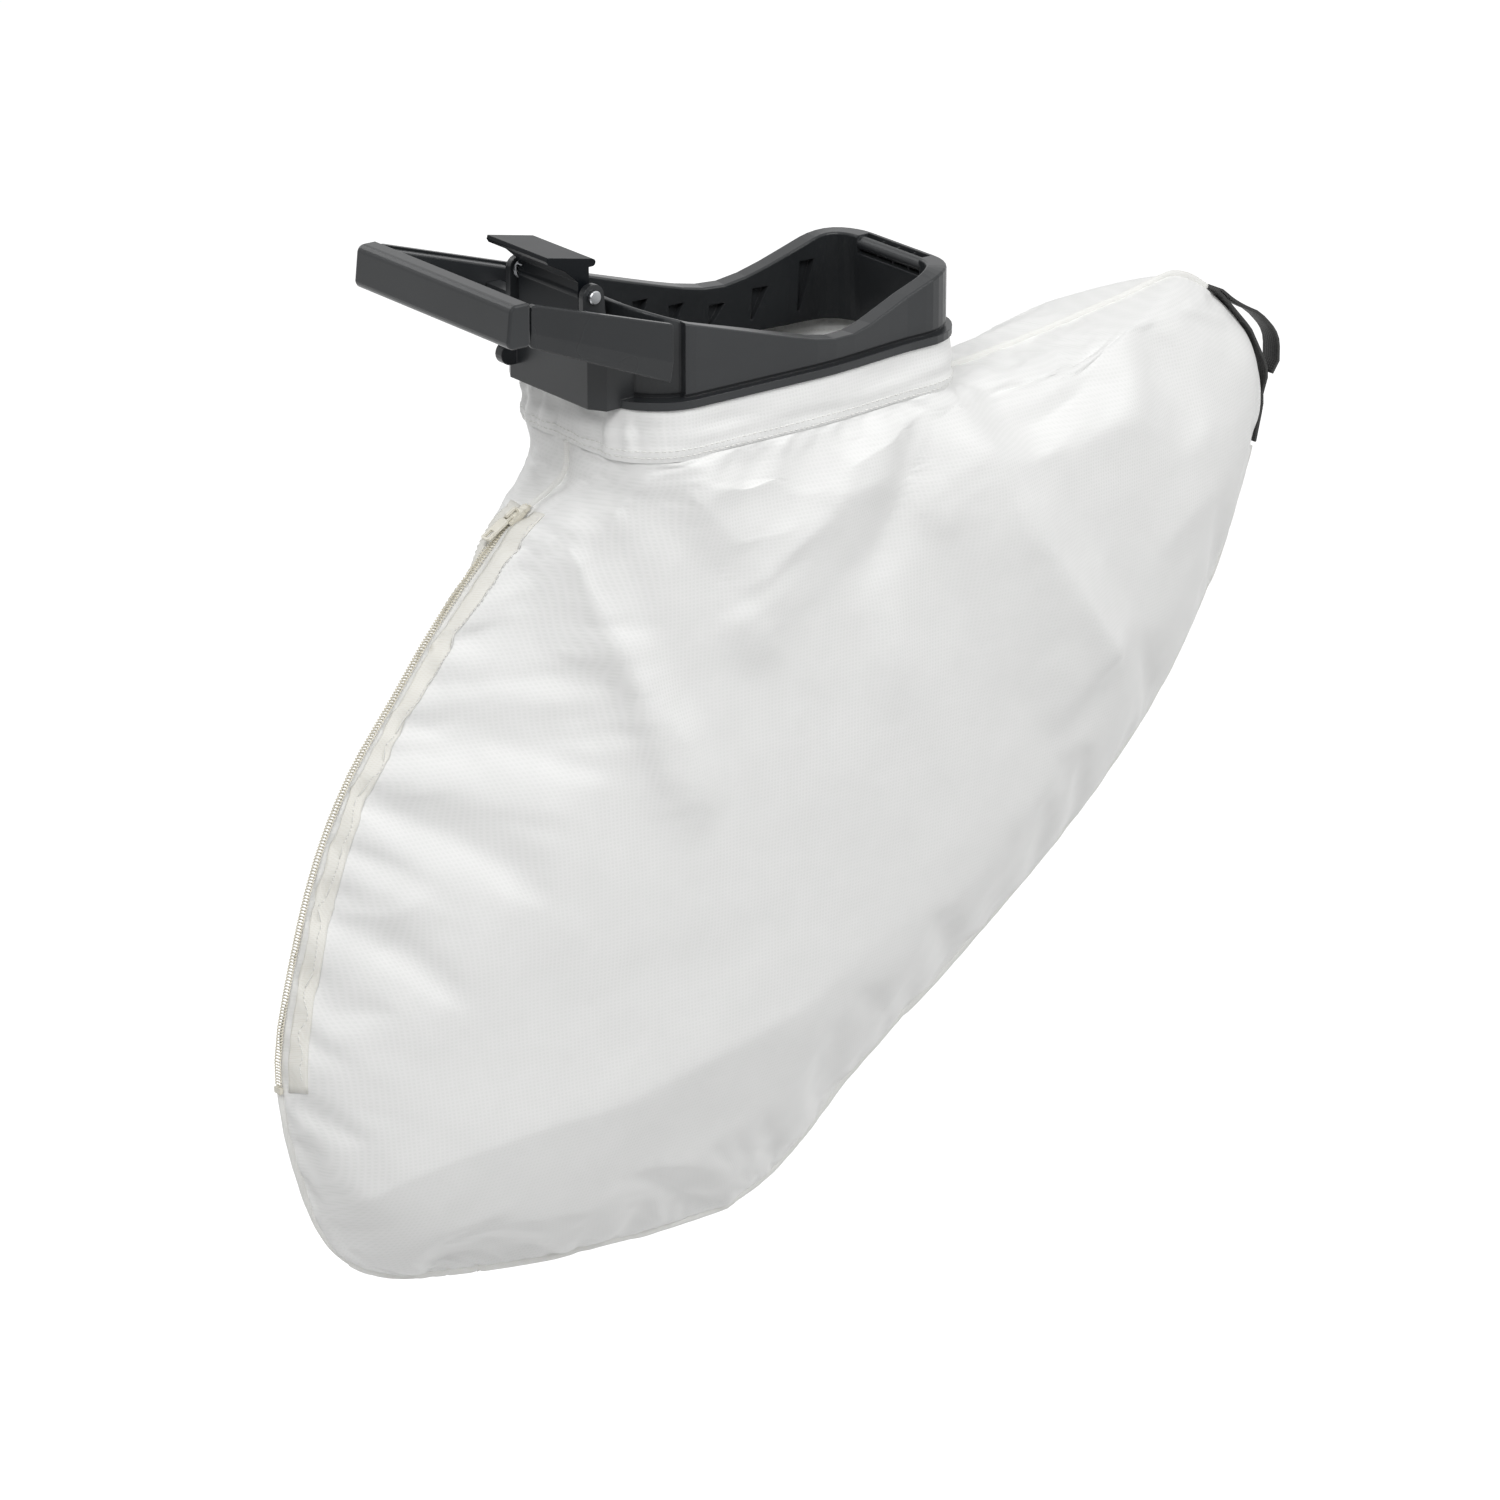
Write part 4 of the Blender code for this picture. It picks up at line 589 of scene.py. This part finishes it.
def lift_points(piece, relief):
    """Move a piece's points along their normals."""
    normals = [vertex.normal.copy() for vertex in piece.data.vertices]
    for vertex, normal in zip(piece.data.vertices, normals):
        vertex.co = vertex.co + normal * relief(vertex.co)


lift_points(bag_cloth, bag_relief)


def cut_away(piece, name, side, material):
    """The half of the bag on one side of its seam, as a piece of its own."""
    half = bmesh.new()
    half.from_mesh(piece.data)
    other = [face for face in half.faces if face.calc_center_median().y * side < 0]
    bmesh.ops.delete(half, geom=other, context="FACES")
    return object_from(half, name, material)


def search_tree(mesh):
    """Search tree of a mesh's faces."""
    return BVHTree.FromPolygons([vertex.co for vertex in mesh.vertices],
                                [tuple(face.vertices) for face in mesh.polygons])


near_cloth = cut_away(bag_cloth, "bag_cloth_near", -1, bag_polyester)
far_cloth = cut_away(bag_cloth, "bag_cloth_far", 1, bag_polyester)
bag_cloth_tree = search_tree(bag_cloth.data)
bpy.data.objects.remove(bag_cloth)
for piece, node in ((near_cloth, "bag_panel_near"), (far_cloth, "bag_panel_far")):
    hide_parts(node)
    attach(piece, "collar")


# Cuff: a band of the same cloth, gathered a little over the collar's spigot and lapped over the
# bag's top edge with two rows of stitches. Its hem turns in and holds the elastic cord.
CUFF_TOP_Z = -4.3 * MM
CUFF_BOTTOM_Z = -28.7 * MM
GATHER_HEIGHT = 0.8 * MM
LAP_HEIGHT = 0.5 * MM
LAP_TUCK = 1.3 * MM
LAP_DROP = 1.2 * MM
LAP_DEPTH = 6 * MM
TUCK_DEPTH = 2.5 * MM
CUFF_CORE_REACH = 0.06
CREASE_LENGTH = 38 * MM
CREASE_DEPTH = 7 * MM
GATHER_WIDTH = 8 * MM
GATHER_LENGTH = 45 * MM
LATCH_GATHER_X = -0.080


def cuff_core(point):
    """Point in the middle of the collar that a piece of the cuff looks away from."""
    return Vector((min(max(point.x, -CUFF_CORE_REACH), CUFF_CORE_REACH), 0, point.z))


def cuff_relief(place):
    """Soft creases round the cuff, gathers at its latch end, and the thicker lap at its bottom."""
    down = (CUFF_TOP_Z - place.z) / (CUFF_TOP_Z - CUFF_BOTTOM_Z)
    round_way = Vector((place.x / CREASE_LENGTH, place.y / CREASE_LENGTH, place.z / CREASE_DEPTH))
    crease = (0.3 + noise.noise(round_way) * 1.8) * sin(pi * min(max(down, 0.0), 1.0))
    turn = noise.noise(Vector((place.x / GATHER_WIDTH, place.y / GATHER_WIDTH, place.z / GATHER_LENGTH)))
    latch_end = smoothstep((LATCH_GATHER_X - place.x) / (20 * MM))
    edge_z = CUFF_BOTTOM_Z + LAP_DEPTH + 1.6 * MM * noise.noise(place / (26 * MM))
    lap = smoothstep((edge_z - place.z) / (1.8 * MM))
    gathers = turn * (0.35 + 2.4 * latch_end) * (0.3 + 0.7 * sin(pi * min(max(down, 0.0), 1.0)))
    tuck = smoothstep((CUFF_BOTTOM_Z + TUCK_DEPTH - place.z) / TUCK_DEPTH)
    return GATHER_HEIGHT * (crease + gathers) * 1.4 + LAP_HEIGHT * lap - LAP_TUCK * tuck


cuff_cloth = object_from(outer_skin("neck_cuff", cuff_core), "cuff_cloth", bag_polyester)
subdivide(cuff_cloth, 3)
lift_points(cuff_cloth, cuff_relief)
for vertex in cuff_cloth.data.vertices:
    vertex.co.z -= LAP_DROP * smoothstep((CUFF_BOTTOM_Z + TUCK_DEPTH - vertex.co.z) / TUCK_DEPTH)
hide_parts("neck_cuff")
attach(cuff_cloth, "collar")


def softened(node, name, material, rounding, relief=None, levels=0):
    """A plain CAD solid made again with rounded edges, and with folds where relief gives them."""
    solid = bmesh.new()
    solid.from_mesh(NODES[node].data)
    bmesh.ops.remove_doubles(solid, verts=solid.verts, dist=0.002 * MM)
    bmesh.ops.join_triangles(solid, faces=solid.faces, angle_face_threshold=radians(12),
                             angle_shape_threshold=radians(80))
    piece = object_from(solid, name, material)
    edges = piece.modifiers.new("rounding", "BEVEL")
    edges.width = rounding
    edges.segments = 2
    edges.limit_method = "ANGLE"
    edges.angle_limit = radians(40)
    apply_modifiers(piece)
    if levels:
        subdivide(piece, levels)
    if relief:
        lift_points(piece, relief)
    piece.data.shade_smooth()
    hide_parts(node)
    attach(piece, "collar")
    return piece


def hem_relief(place):
    """Small gathers where the elastic pulls the hem together."""
    return 0.15 * MM * noise.noise(Vector((place.x / (4 * MM), place.y / (4 * MM), place.z / (12 * MM))))


# A chalky white cord with a rough, dull surface. The grey between its strands is painted shade.
# The strands are drawn coarser so that they show.
elastic_braid = woven("rubber cord, braided over in white", srgb("E9E8E3"), srgb("CFCDC4"),
                      pitch=1.1 * MM, slant=1.0, relief=0.5, roughness=0.75)
hem_cloth = softened("cuff_hem", "hem_cloth", bag_polyester, 0.2 * MM, hem_relief, 1)
softened("cuff_elastic", "elastic_cord", elastic_braid, 0.1 * MM)


def path_of(points, spacing):
    """Points at an even spacing along a line of points."""
    lengths = [0.0]
    for a, b in zip(points, points[1:]):
        lengths.append(lengths[-1] + (b - a).length)
    count = max(int(round(lengths[-1] / spacing)), 1)
    path, place = [], 0
    for k in range(count + 1):
        goal = lengths[-1] * k / count
        while place < len(lengths) - 2 and lengths[place + 1] < goal:
            place += 1
        share = (goal - lengths[place]) / (lengths[place + 1] - lengths[place])
        path.append(points[place].lerp(points[place + 1], min(share, 1.0)))
    return path


THREAD_RADIUS = 0.28 * MM
THREAD_SIDES = 6
STITCH_LENGTH = 2.6 * MM
LAP_STITCH_PITCH = STITCH_LENGTH + 0.6 * MM
LAP_ROWS = (1.4 * MM, 4.6 * MM)
CUFF_RAYS = 360
RAY_START = 0.3


def stitch_row(name, points, normals, gap, material):
    """A row of sewing stitches: short threads that dip into the cloth at both ends.

    The gap is the share of each stitch's length that lies between it and the next. A thread is
    five rings: how far along it each lies, its height over the cloth, and its width.
    """
    row = bmesh.new()
    for (a, b), normal in zip(zip(points, points[1:]), normals):
        along = b - a
        if along.length < 0.2 * MM:
            continue
        side = along.normalized().cross(normal).normalized()
        rings = []
        for share, lift, wide in ((gap / 2, -0.7, 0.5), (0.5 * gap + 0.2, 0.5, 0.95), (0.5, 0.8, 1.0),
                                  (0.8 - 0.5 * gap, 0.5, 0.95), (1 - gap / 2, -0.7, 0.5)):
            centre = a + along * share + normal * lift * THREAD_RADIUS
            ring = []
            for k in range(THREAD_SIDES):
                turn = 2 * pi * k / THREAD_SIDES
                out = (side * cos(turn) + normal * sin(turn)) * THREAD_RADIUS * wide
                ring.append(row.verts.new(centre + out))
            rings.append(ring)
        for one, two in zip(rings, rings[1:]):
            for k in range(THREAD_SIDES):
                after = (k + 1) % THREAD_SIDES
                row.faces.new((one[k], one[after], two[after], two[k]))
        row.faces.new(rings[0][::-1])
        row.faces.new(rings[-1])
    piece = object_from(row, name, material)
    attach(piece, "collar")
    return piece


def spun_thread(name, light, dark):
    """Three-ply thread: fine slanted plies, drawn coarser than the real ones so that they show, lighter on
    each ply and with painted shade between plies.
    """
    material, tree, shader, place = start_material(name)
    plies = add_node(tree, "ShaderNodeTexWave", {
        "bands_direction": "DIAGONAL", "Scale": 0.3 / (0.5 * MM), "Distortion": 1.0}, {"Vector": place})
    tint = add_node(tree, "ShaderNodeMix", {"data_type": "RGBA", 6: dark, 7: light}, {
        "Factor": plies.outputs["Fac"]})
    tree.links.new(tint.outputs[2], shader.inputs["Base Color"])
    shader.inputs["Roughness"].default_value = 0.6
    bump = add_node(tree, "ShaderNodeBump", {"Strength": 0.3, "Distance": 0.05 * MM}, {
        "Height": plies.outputs["Fac"]})
    tree.links.new(bump.outputs[0], shader.inputs["Normal"])
    return material


# White, with the grey between the plies painted shade, so that each stitch shows as a small raised
# dash on the cloth.
white_thread = spun_thread("polyester sewing thread, white", srgb("F3F3F0"), srgb("DEDEDA"))
cuff_tree = search_tree(cuff_cloth.data)


def on_cloth(tree_of_cloth, place, lift):
    """The nearest place on a cloth, a little above it, and the cloth's normal there."""
    spot, normal = tree_of_cloth.find_nearest(place)[:2]
    return spot + normal * lift, normal


for number, rise in enumerate(LAP_ROWS):
    loop = []
    for k in range(CUFF_RAYS + 1):
        turn = 2 * pi * k / CUFF_RAYS
        ray = Vector((cos(turn), sin(turn), 0))
        spot = cuff_tree.ray_cast(Vector((0, 0, CUFF_BOTTOM_Z + rise)) + ray * RAY_START, -ray)[0]
        if spot:
            loop.append(spot)
    loop = path_of(loop, LAP_STITCH_PITCH)
    normals = [on_cloth(cuff_tree, spot, 0.0)[1] for spot in loop]
    stitch_row("cuff_stitches_%d" % (number + 1), loop, normals, 0.18, white_thread)


# Zip: cream knitted tapes sewn over the panels' edges, with a row of nylon coil on each.
# The coil is one wire wound into loops, a loop every 1.5 mm, and it runs between two metal stops.
ZIP_CREAM = srgb("F3F2EC")
ZIP_CREAM_PAINTED_SHADE = srgb("EBE8DF")
COIL_PITCH = 1.5 * MM
COIL_WIRE_RADIUS = 0.36 * MM
COIL_MIDDLE = 1.28 * MM
COIL_HALF_WIDTH = 0.75 * MM
COIL_OUT = 1.6 * MM
COIL_HALF_HEIGHT = 0.62 * MM
LOOP_STEPS = 8
LOOP_SIDES = 5
COIL_LOOK = 12

# Warm off-white beside the bag's cold white, dull and finely ribbed by the knitting, with painted
# shade between the ribs.
knitted_tape = woven("polyester zip tape, knitted, cream", ZIP_CREAM, ZIP_CREAM_PAINTED_SHADE,
                     pitch=0.9 * MM, slant=1.0, relief=0.45, roughness=0.7)


def moulded_wire(name, light, dark):
    """Extruded nylon wire, with a faintly cloudy tint."""
    material, tree, shader, place = start_material(name)
    cloud = add_node(tree, "ShaderNodeTexNoise", {"Scale": 1 / (6 * MM), "Detail": 2.0}, {"Vector": place})
    tint = add_node(tree, "ShaderNodeMix", {"data_type": "RGBA", 6: dark, 7: light}, {
        "Factor": cloud.outputs["Fac"]})
    tree.links.new(tint.outputs[2], shader.inputs["Base Color"])
    shader.inputs["Roughness"].default_value = 0.42
    shader.inputs["IOR"].default_value = 1.53
    return material


# Cream with a soft shine on top of each loop, which makes the row glitter faintly.
coil_nylon = moulded_wire("nylon wire, extruded and coiled, cream", srgb("EFEBDD"), srgb("DFD9C7"))


def tube(name, path, radius, sides, material):
    """Round wire along a path."""
    wire = bmesh.new()
    last = None
    up = Vector((0, 1, 0))
    for k, place in enumerate(path):
        along = (path[min(k + 1, len(path) - 1)] - path[max(k - 1, 0)]).normalized()
        side = along.cross(up)
        if side.length < 0.2:
            side = along.cross(Vector((1, 0, 0)))
        side = side.normalized()
        other = along.cross(side)
        turns = [2 * pi * j / sides for j in range(sides)]
        ring = [wire.verts.new(place + (side * cos(turn) + other * sin(turn)) * radius) for turn in turns]
        if last:
            shift = min(range(sides), key=lambda s: sum(
                (last[j].co - ring[(j + s) % sides].co).length for j in range(sides)))
            ring = ring[shift:] + ring[:shift]
            for j in range(sides):
                wire.faces.new((last[j], last[(j + 1) % sides], ring[(j + 1) % sides], ring[j]))
        else:
            wire.faces.new(ring[::-1])
        last = ring
    wire.faces.new(last)
    return object_from(wire, name, material)


coil_low, coil_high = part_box("zip_coil_near")
coil_line = [place for place in ZIP_SIDE if coil_low.z - 16 * MM < place.z < coil_high.z + 16 * MM]
coil_line = [place for place in path_of(coil_line, 0.5 * MM) if coil_low.z < place.z < coil_high.z]
coil_line = path_of(coil_line, COIL_PITCH / LOOP_STEPS)
for name, node, side in (("coil_near", "zip_coil_near", -1), ("coil_far", "zip_coil_far", 1)):
    loops = []
    for k, place in enumerate(coil_line):
        ahead, behind = coil_line[min(k + COIL_LOOK, len(coil_line) - 1)], coil_line[max(k - COIL_LOOK, 0)]
        along = (ahead - behind).normalized()
        out = Vector((along.z, 0, -along.x))
        turn = 2 * pi * k / LOOP_STEPS
        loops.append(place + out * (COIL_OUT + COIL_HALF_HEIGHT * sin(turn))
                     + Vector((0, side * (COIL_MIDDLE + COIL_HALF_WIDTH * cos(turn)), 0)))
    piece = tube(name, loops, COIL_WIRE_RADIUS, LOOP_SIDES, coil_nylon)
    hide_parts(node)
    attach(piece, "collar")

TAPE_LIFT = 0.35 * MM
TAPE_THICKNESS = 0.45 * MM
for name, node in (("tape_near", "zip_tape_near"), ("tape_far", "zip_tape_far")):
    piece = object_from(outer_skin(node, bag_core), name, knitted_tape)
    subdivide(piece, 2)
    for vertex in piece.data.vertices:
        vertex.co = on_cloth(bag_cloth_tree, vertex.co, TAPE_LIFT)[0]
    body = piece.modifiers.new("thickness", "SOLIDIFY")
    body.thickness = TAPE_THICKNESS
    body.offset = 1.0
    apply_modifiers(piece)
    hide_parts(node)
    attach(piece, "collar")

# A row of stitches holds each tape, this far out from the zip's middle. Each stitch is looked for
# on the cloth from 5 mm out, a millimetre at a time.
STITCH_INSET = 12.2 * MM
TAPE_STITCH_PITCH = STITCH_LENGTH + 0.5 * MM
for name, side in (("tape_stitches_near", -1), ("tape_stitches_far", 1)):
    line, normals = [], []
    for place in path_of(coil_line, TAPE_STITCH_PITCH)[1:-1]:
        for reach in range(5, 16):
            beside = place + Vector((0, side * reach * MM, 0))
            spot, normal = on_cloth(bag_cloth_tree, beside, TAPE_LIFT + TAPE_THICKNESS)
            if (spot - place).length > STITCH_INSET:
                break
        line.append(spot)
        normals.append(normal)
    stitch_row(name, line, normals, 0.2, white_thread)

# Die-cast zinc under cream paint: smooth and shiny, with rounded edges that catch the light.
painted_zinc = moulded_surface("zinc casting, painted cream", srgb("DCD8C9"), srgb("E9E5D8"),
                               roughness=0.30)
for node in ("zip_top_stop", "zip_bottom_stop", "zip_slider", "zip_pull"):
    paint(node, painted_zinc)


# Seam tapes: woven tape folded round the raw edges and sewn, round the rest of the bag's seam.
# It follows the cloth's own seam, as a thin firm line that wavers a little where it was sewn.
TAPE_HALF_WIDTH = 1.9 * MM
TAPE_HALF_THICKNESS = 0.95 * MM
TAPE_SIDES = 10
TAPE_LOOK = 3
TAPE_WAVER = 0.5 * MM
WAVER_STEPS = 8
SEAM_SPACING = 1.5 * MM
SEAM_REACH = 2.6 * MM
SEAM_CENTRE = Vector((-50 * MM, 0, -200 * MM))
NECK_TURN = radians(78)

# A shade duller than the cloth, so that the bag's edge reads as a line of its own. The ribs are
# The ribs are drawn coarser than the real ones so that they show, with painted shade between them.
edge_tape = woven("polyester edge tape, woven, off-white", srgb("F3F3F0"), srgb("EAE9E5"),
                  pitch=1.0 * MM, slant=1.0, relief=0.4, roughness=0.65)


def round_turn(place):
    """How far round the bag a place lies, counted from the neck down the zip's side."""
    return (atan2(place.z - SEAM_CENTRE.z, place.x - SEAM_CENTRE.x) - NECK_TURN) % (2 * pi)


def sewn_seam(cloth):
    """The seam of a panel, from the neck down the zip's side and round the bottom to the far corner."""
    seam = (vertex.co for vertex in cloth.data.vertices if abs(vertex.co.y) < 0.05 * MM)
    return sorted(seam, key=round_turn)


seam_path = path_of(sewn_seam(near_cloth), SEAM_SPACING)
for name, node in (("neck_seam", "neck_seam_tape"), ("upper_piping", "upper_edge_piping"),
                   ("lower_piping", "lower_edge_piping")):
    solid_tree = search_tree(NODES[node].data)
    run = [k for k, place in enumerate(seam_path) if solid_tree.find_nearest(place)[3] < SEAM_REACH]
    tape = bmesh.new()
    last = None
    for k in range(run[0], run[-1] + 1):
        ahead, behind = seam_path[min(k + TAPE_LOOK, len(seam_path) - 1)], seam_path[max(k - TAPE_LOOK, 0)]
        along = (ahead - behind).normalized()
        out = Vector((along.z, 0, -along.x))
        waver = TAPE_WAVER * noise.noise(Vector((k / WAVER_STEPS, 0.0, 0.0)))
        ring = []
        for j in range(TAPE_SIDES):
            turn = 2 * pi * j / TAPE_SIDES
            ring.append(tape.verts.new(
                seam_path[k] + out * (0.5 * TAPE_HALF_WIDTH + TAPE_HALF_WIDTH * cos(turn))
                + Vector((0, TAPE_HALF_THICKNESS * sin(turn) + waver, 0))))
        if last:
            for j in range(TAPE_SIDES):
                after = (j + 1) % TAPE_SIDES
                tape.faces.new((last[j], last[after], ring[after], ring[j]))
        else:
            tape.faces.new(ring[::-1])
        last = ring
    tape.faces.new(last)
    bmesh.ops.recalc_face_normals(tape, faces=tape.faces)
    piece = object_from(tape, name, edge_tape)
    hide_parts(node)
    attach(piece, "collar")


# Grab loop: flat black webbing sewn along the far corner, with a length that bows out as a handle.
# It is woven with ribs along its length and has a dull shine.
RIB_PITCH = 1.5 * MM
PICK_PITCH = 1.1 * MM
STRAP_ROUNDING = 0.35 * MM
SEATING = 1.2 * MM
TAIL_TOP_Z = -84 * MM
TAIL_SHARE = 0.4


def ribbed_webbing(name, dark, light):
    """Ribs run along the strap; fine picks cross them. Both are drawn a little coarse to show, painted
    lighter on their crests and darker between them.
    """
    material, tree, shader, place = start_material(name)
    axes = add_node(tree, "ShaderNodeSeparateXYZ", None, {"Vector": place})
    waves = []
    for axis, pitch in (("Y", RIB_PITCH), ("Z", PICK_PITCH)):
        wave = add_node(tree, "ShaderNodeMath", {"operation": "MULTIPLY", 1: 2 * pi / pitch}, {
            0: axes.outputs[axis]})
        waves.append(add_node(tree, "ShaderNodeMath", {"operation": "SINE"}, {0: wave.outputs[0]}))
    weave = add_node(tree, "ShaderNodeMath", {"operation": "MULTIPLY_ADD", 1: 0.5}, {
        0: waves[1].outputs[0], 2: waves[0].outputs[0]})
    share = add_node(tree, "ShaderNodeMapRange", {"From Min": -1.5, "From Max": 1.5}, {
        "Value": weave.outputs[0]})
    tint = add_node(tree, "ShaderNodeMix", {"data_type": "RGBA", 6: dark, 7: light}, {
        "Factor": share.outputs[0]})
    tree.links.new(tint.outputs[2], shader.inputs["Base Color"])
    shader.inputs["Roughness"].default_value = 0.62
    bump = add_node(tree, "ShaderNodeBump", {"Strength": 0.5, "Distance": 0.12 * MM}, {
        "Height": weave.outputs[0]})
    tree.links.new(bump.outputs[0], shader.inputs["Normal"])
    return material


# Dull black, with grey ridges that are painted light, so that the strap reads as ribbed cloth and
# not as plastic.
black_webbing = ribbed_webbing("polypropylene webbing, ribbed, black", srgb("131313"), srgb("2B2B2A"))
strap_sewn = softened("strap_base", "strap_sewn", black_webbing, STRAP_ROUNDING)
softened("strap_loop", "grab_loop", black_webbing, STRAP_ROUNDING)


def seat_on_bag(piece):
    """Press the side of a piece that faces the bag down onto the cloth."""
    for vertex in piece.data.vertices:
        spot, _, _, distance = bag_cloth_tree.find_nearest(vertex.co)
        if distance < SEATING:
            vertex.co = spot.lerp(vertex.co, 0.1)


# The lower end of the sewn strap narrows to a tail.
for vertex in strap_sewn.data.vertices:
    vertex.co.y *= 1 - (1 - TAIL_SHARE) * smoothstep((TAIL_TOP_Z - vertex.co.z) / (8 * MM))
seat_on_bag(strap_sewn)
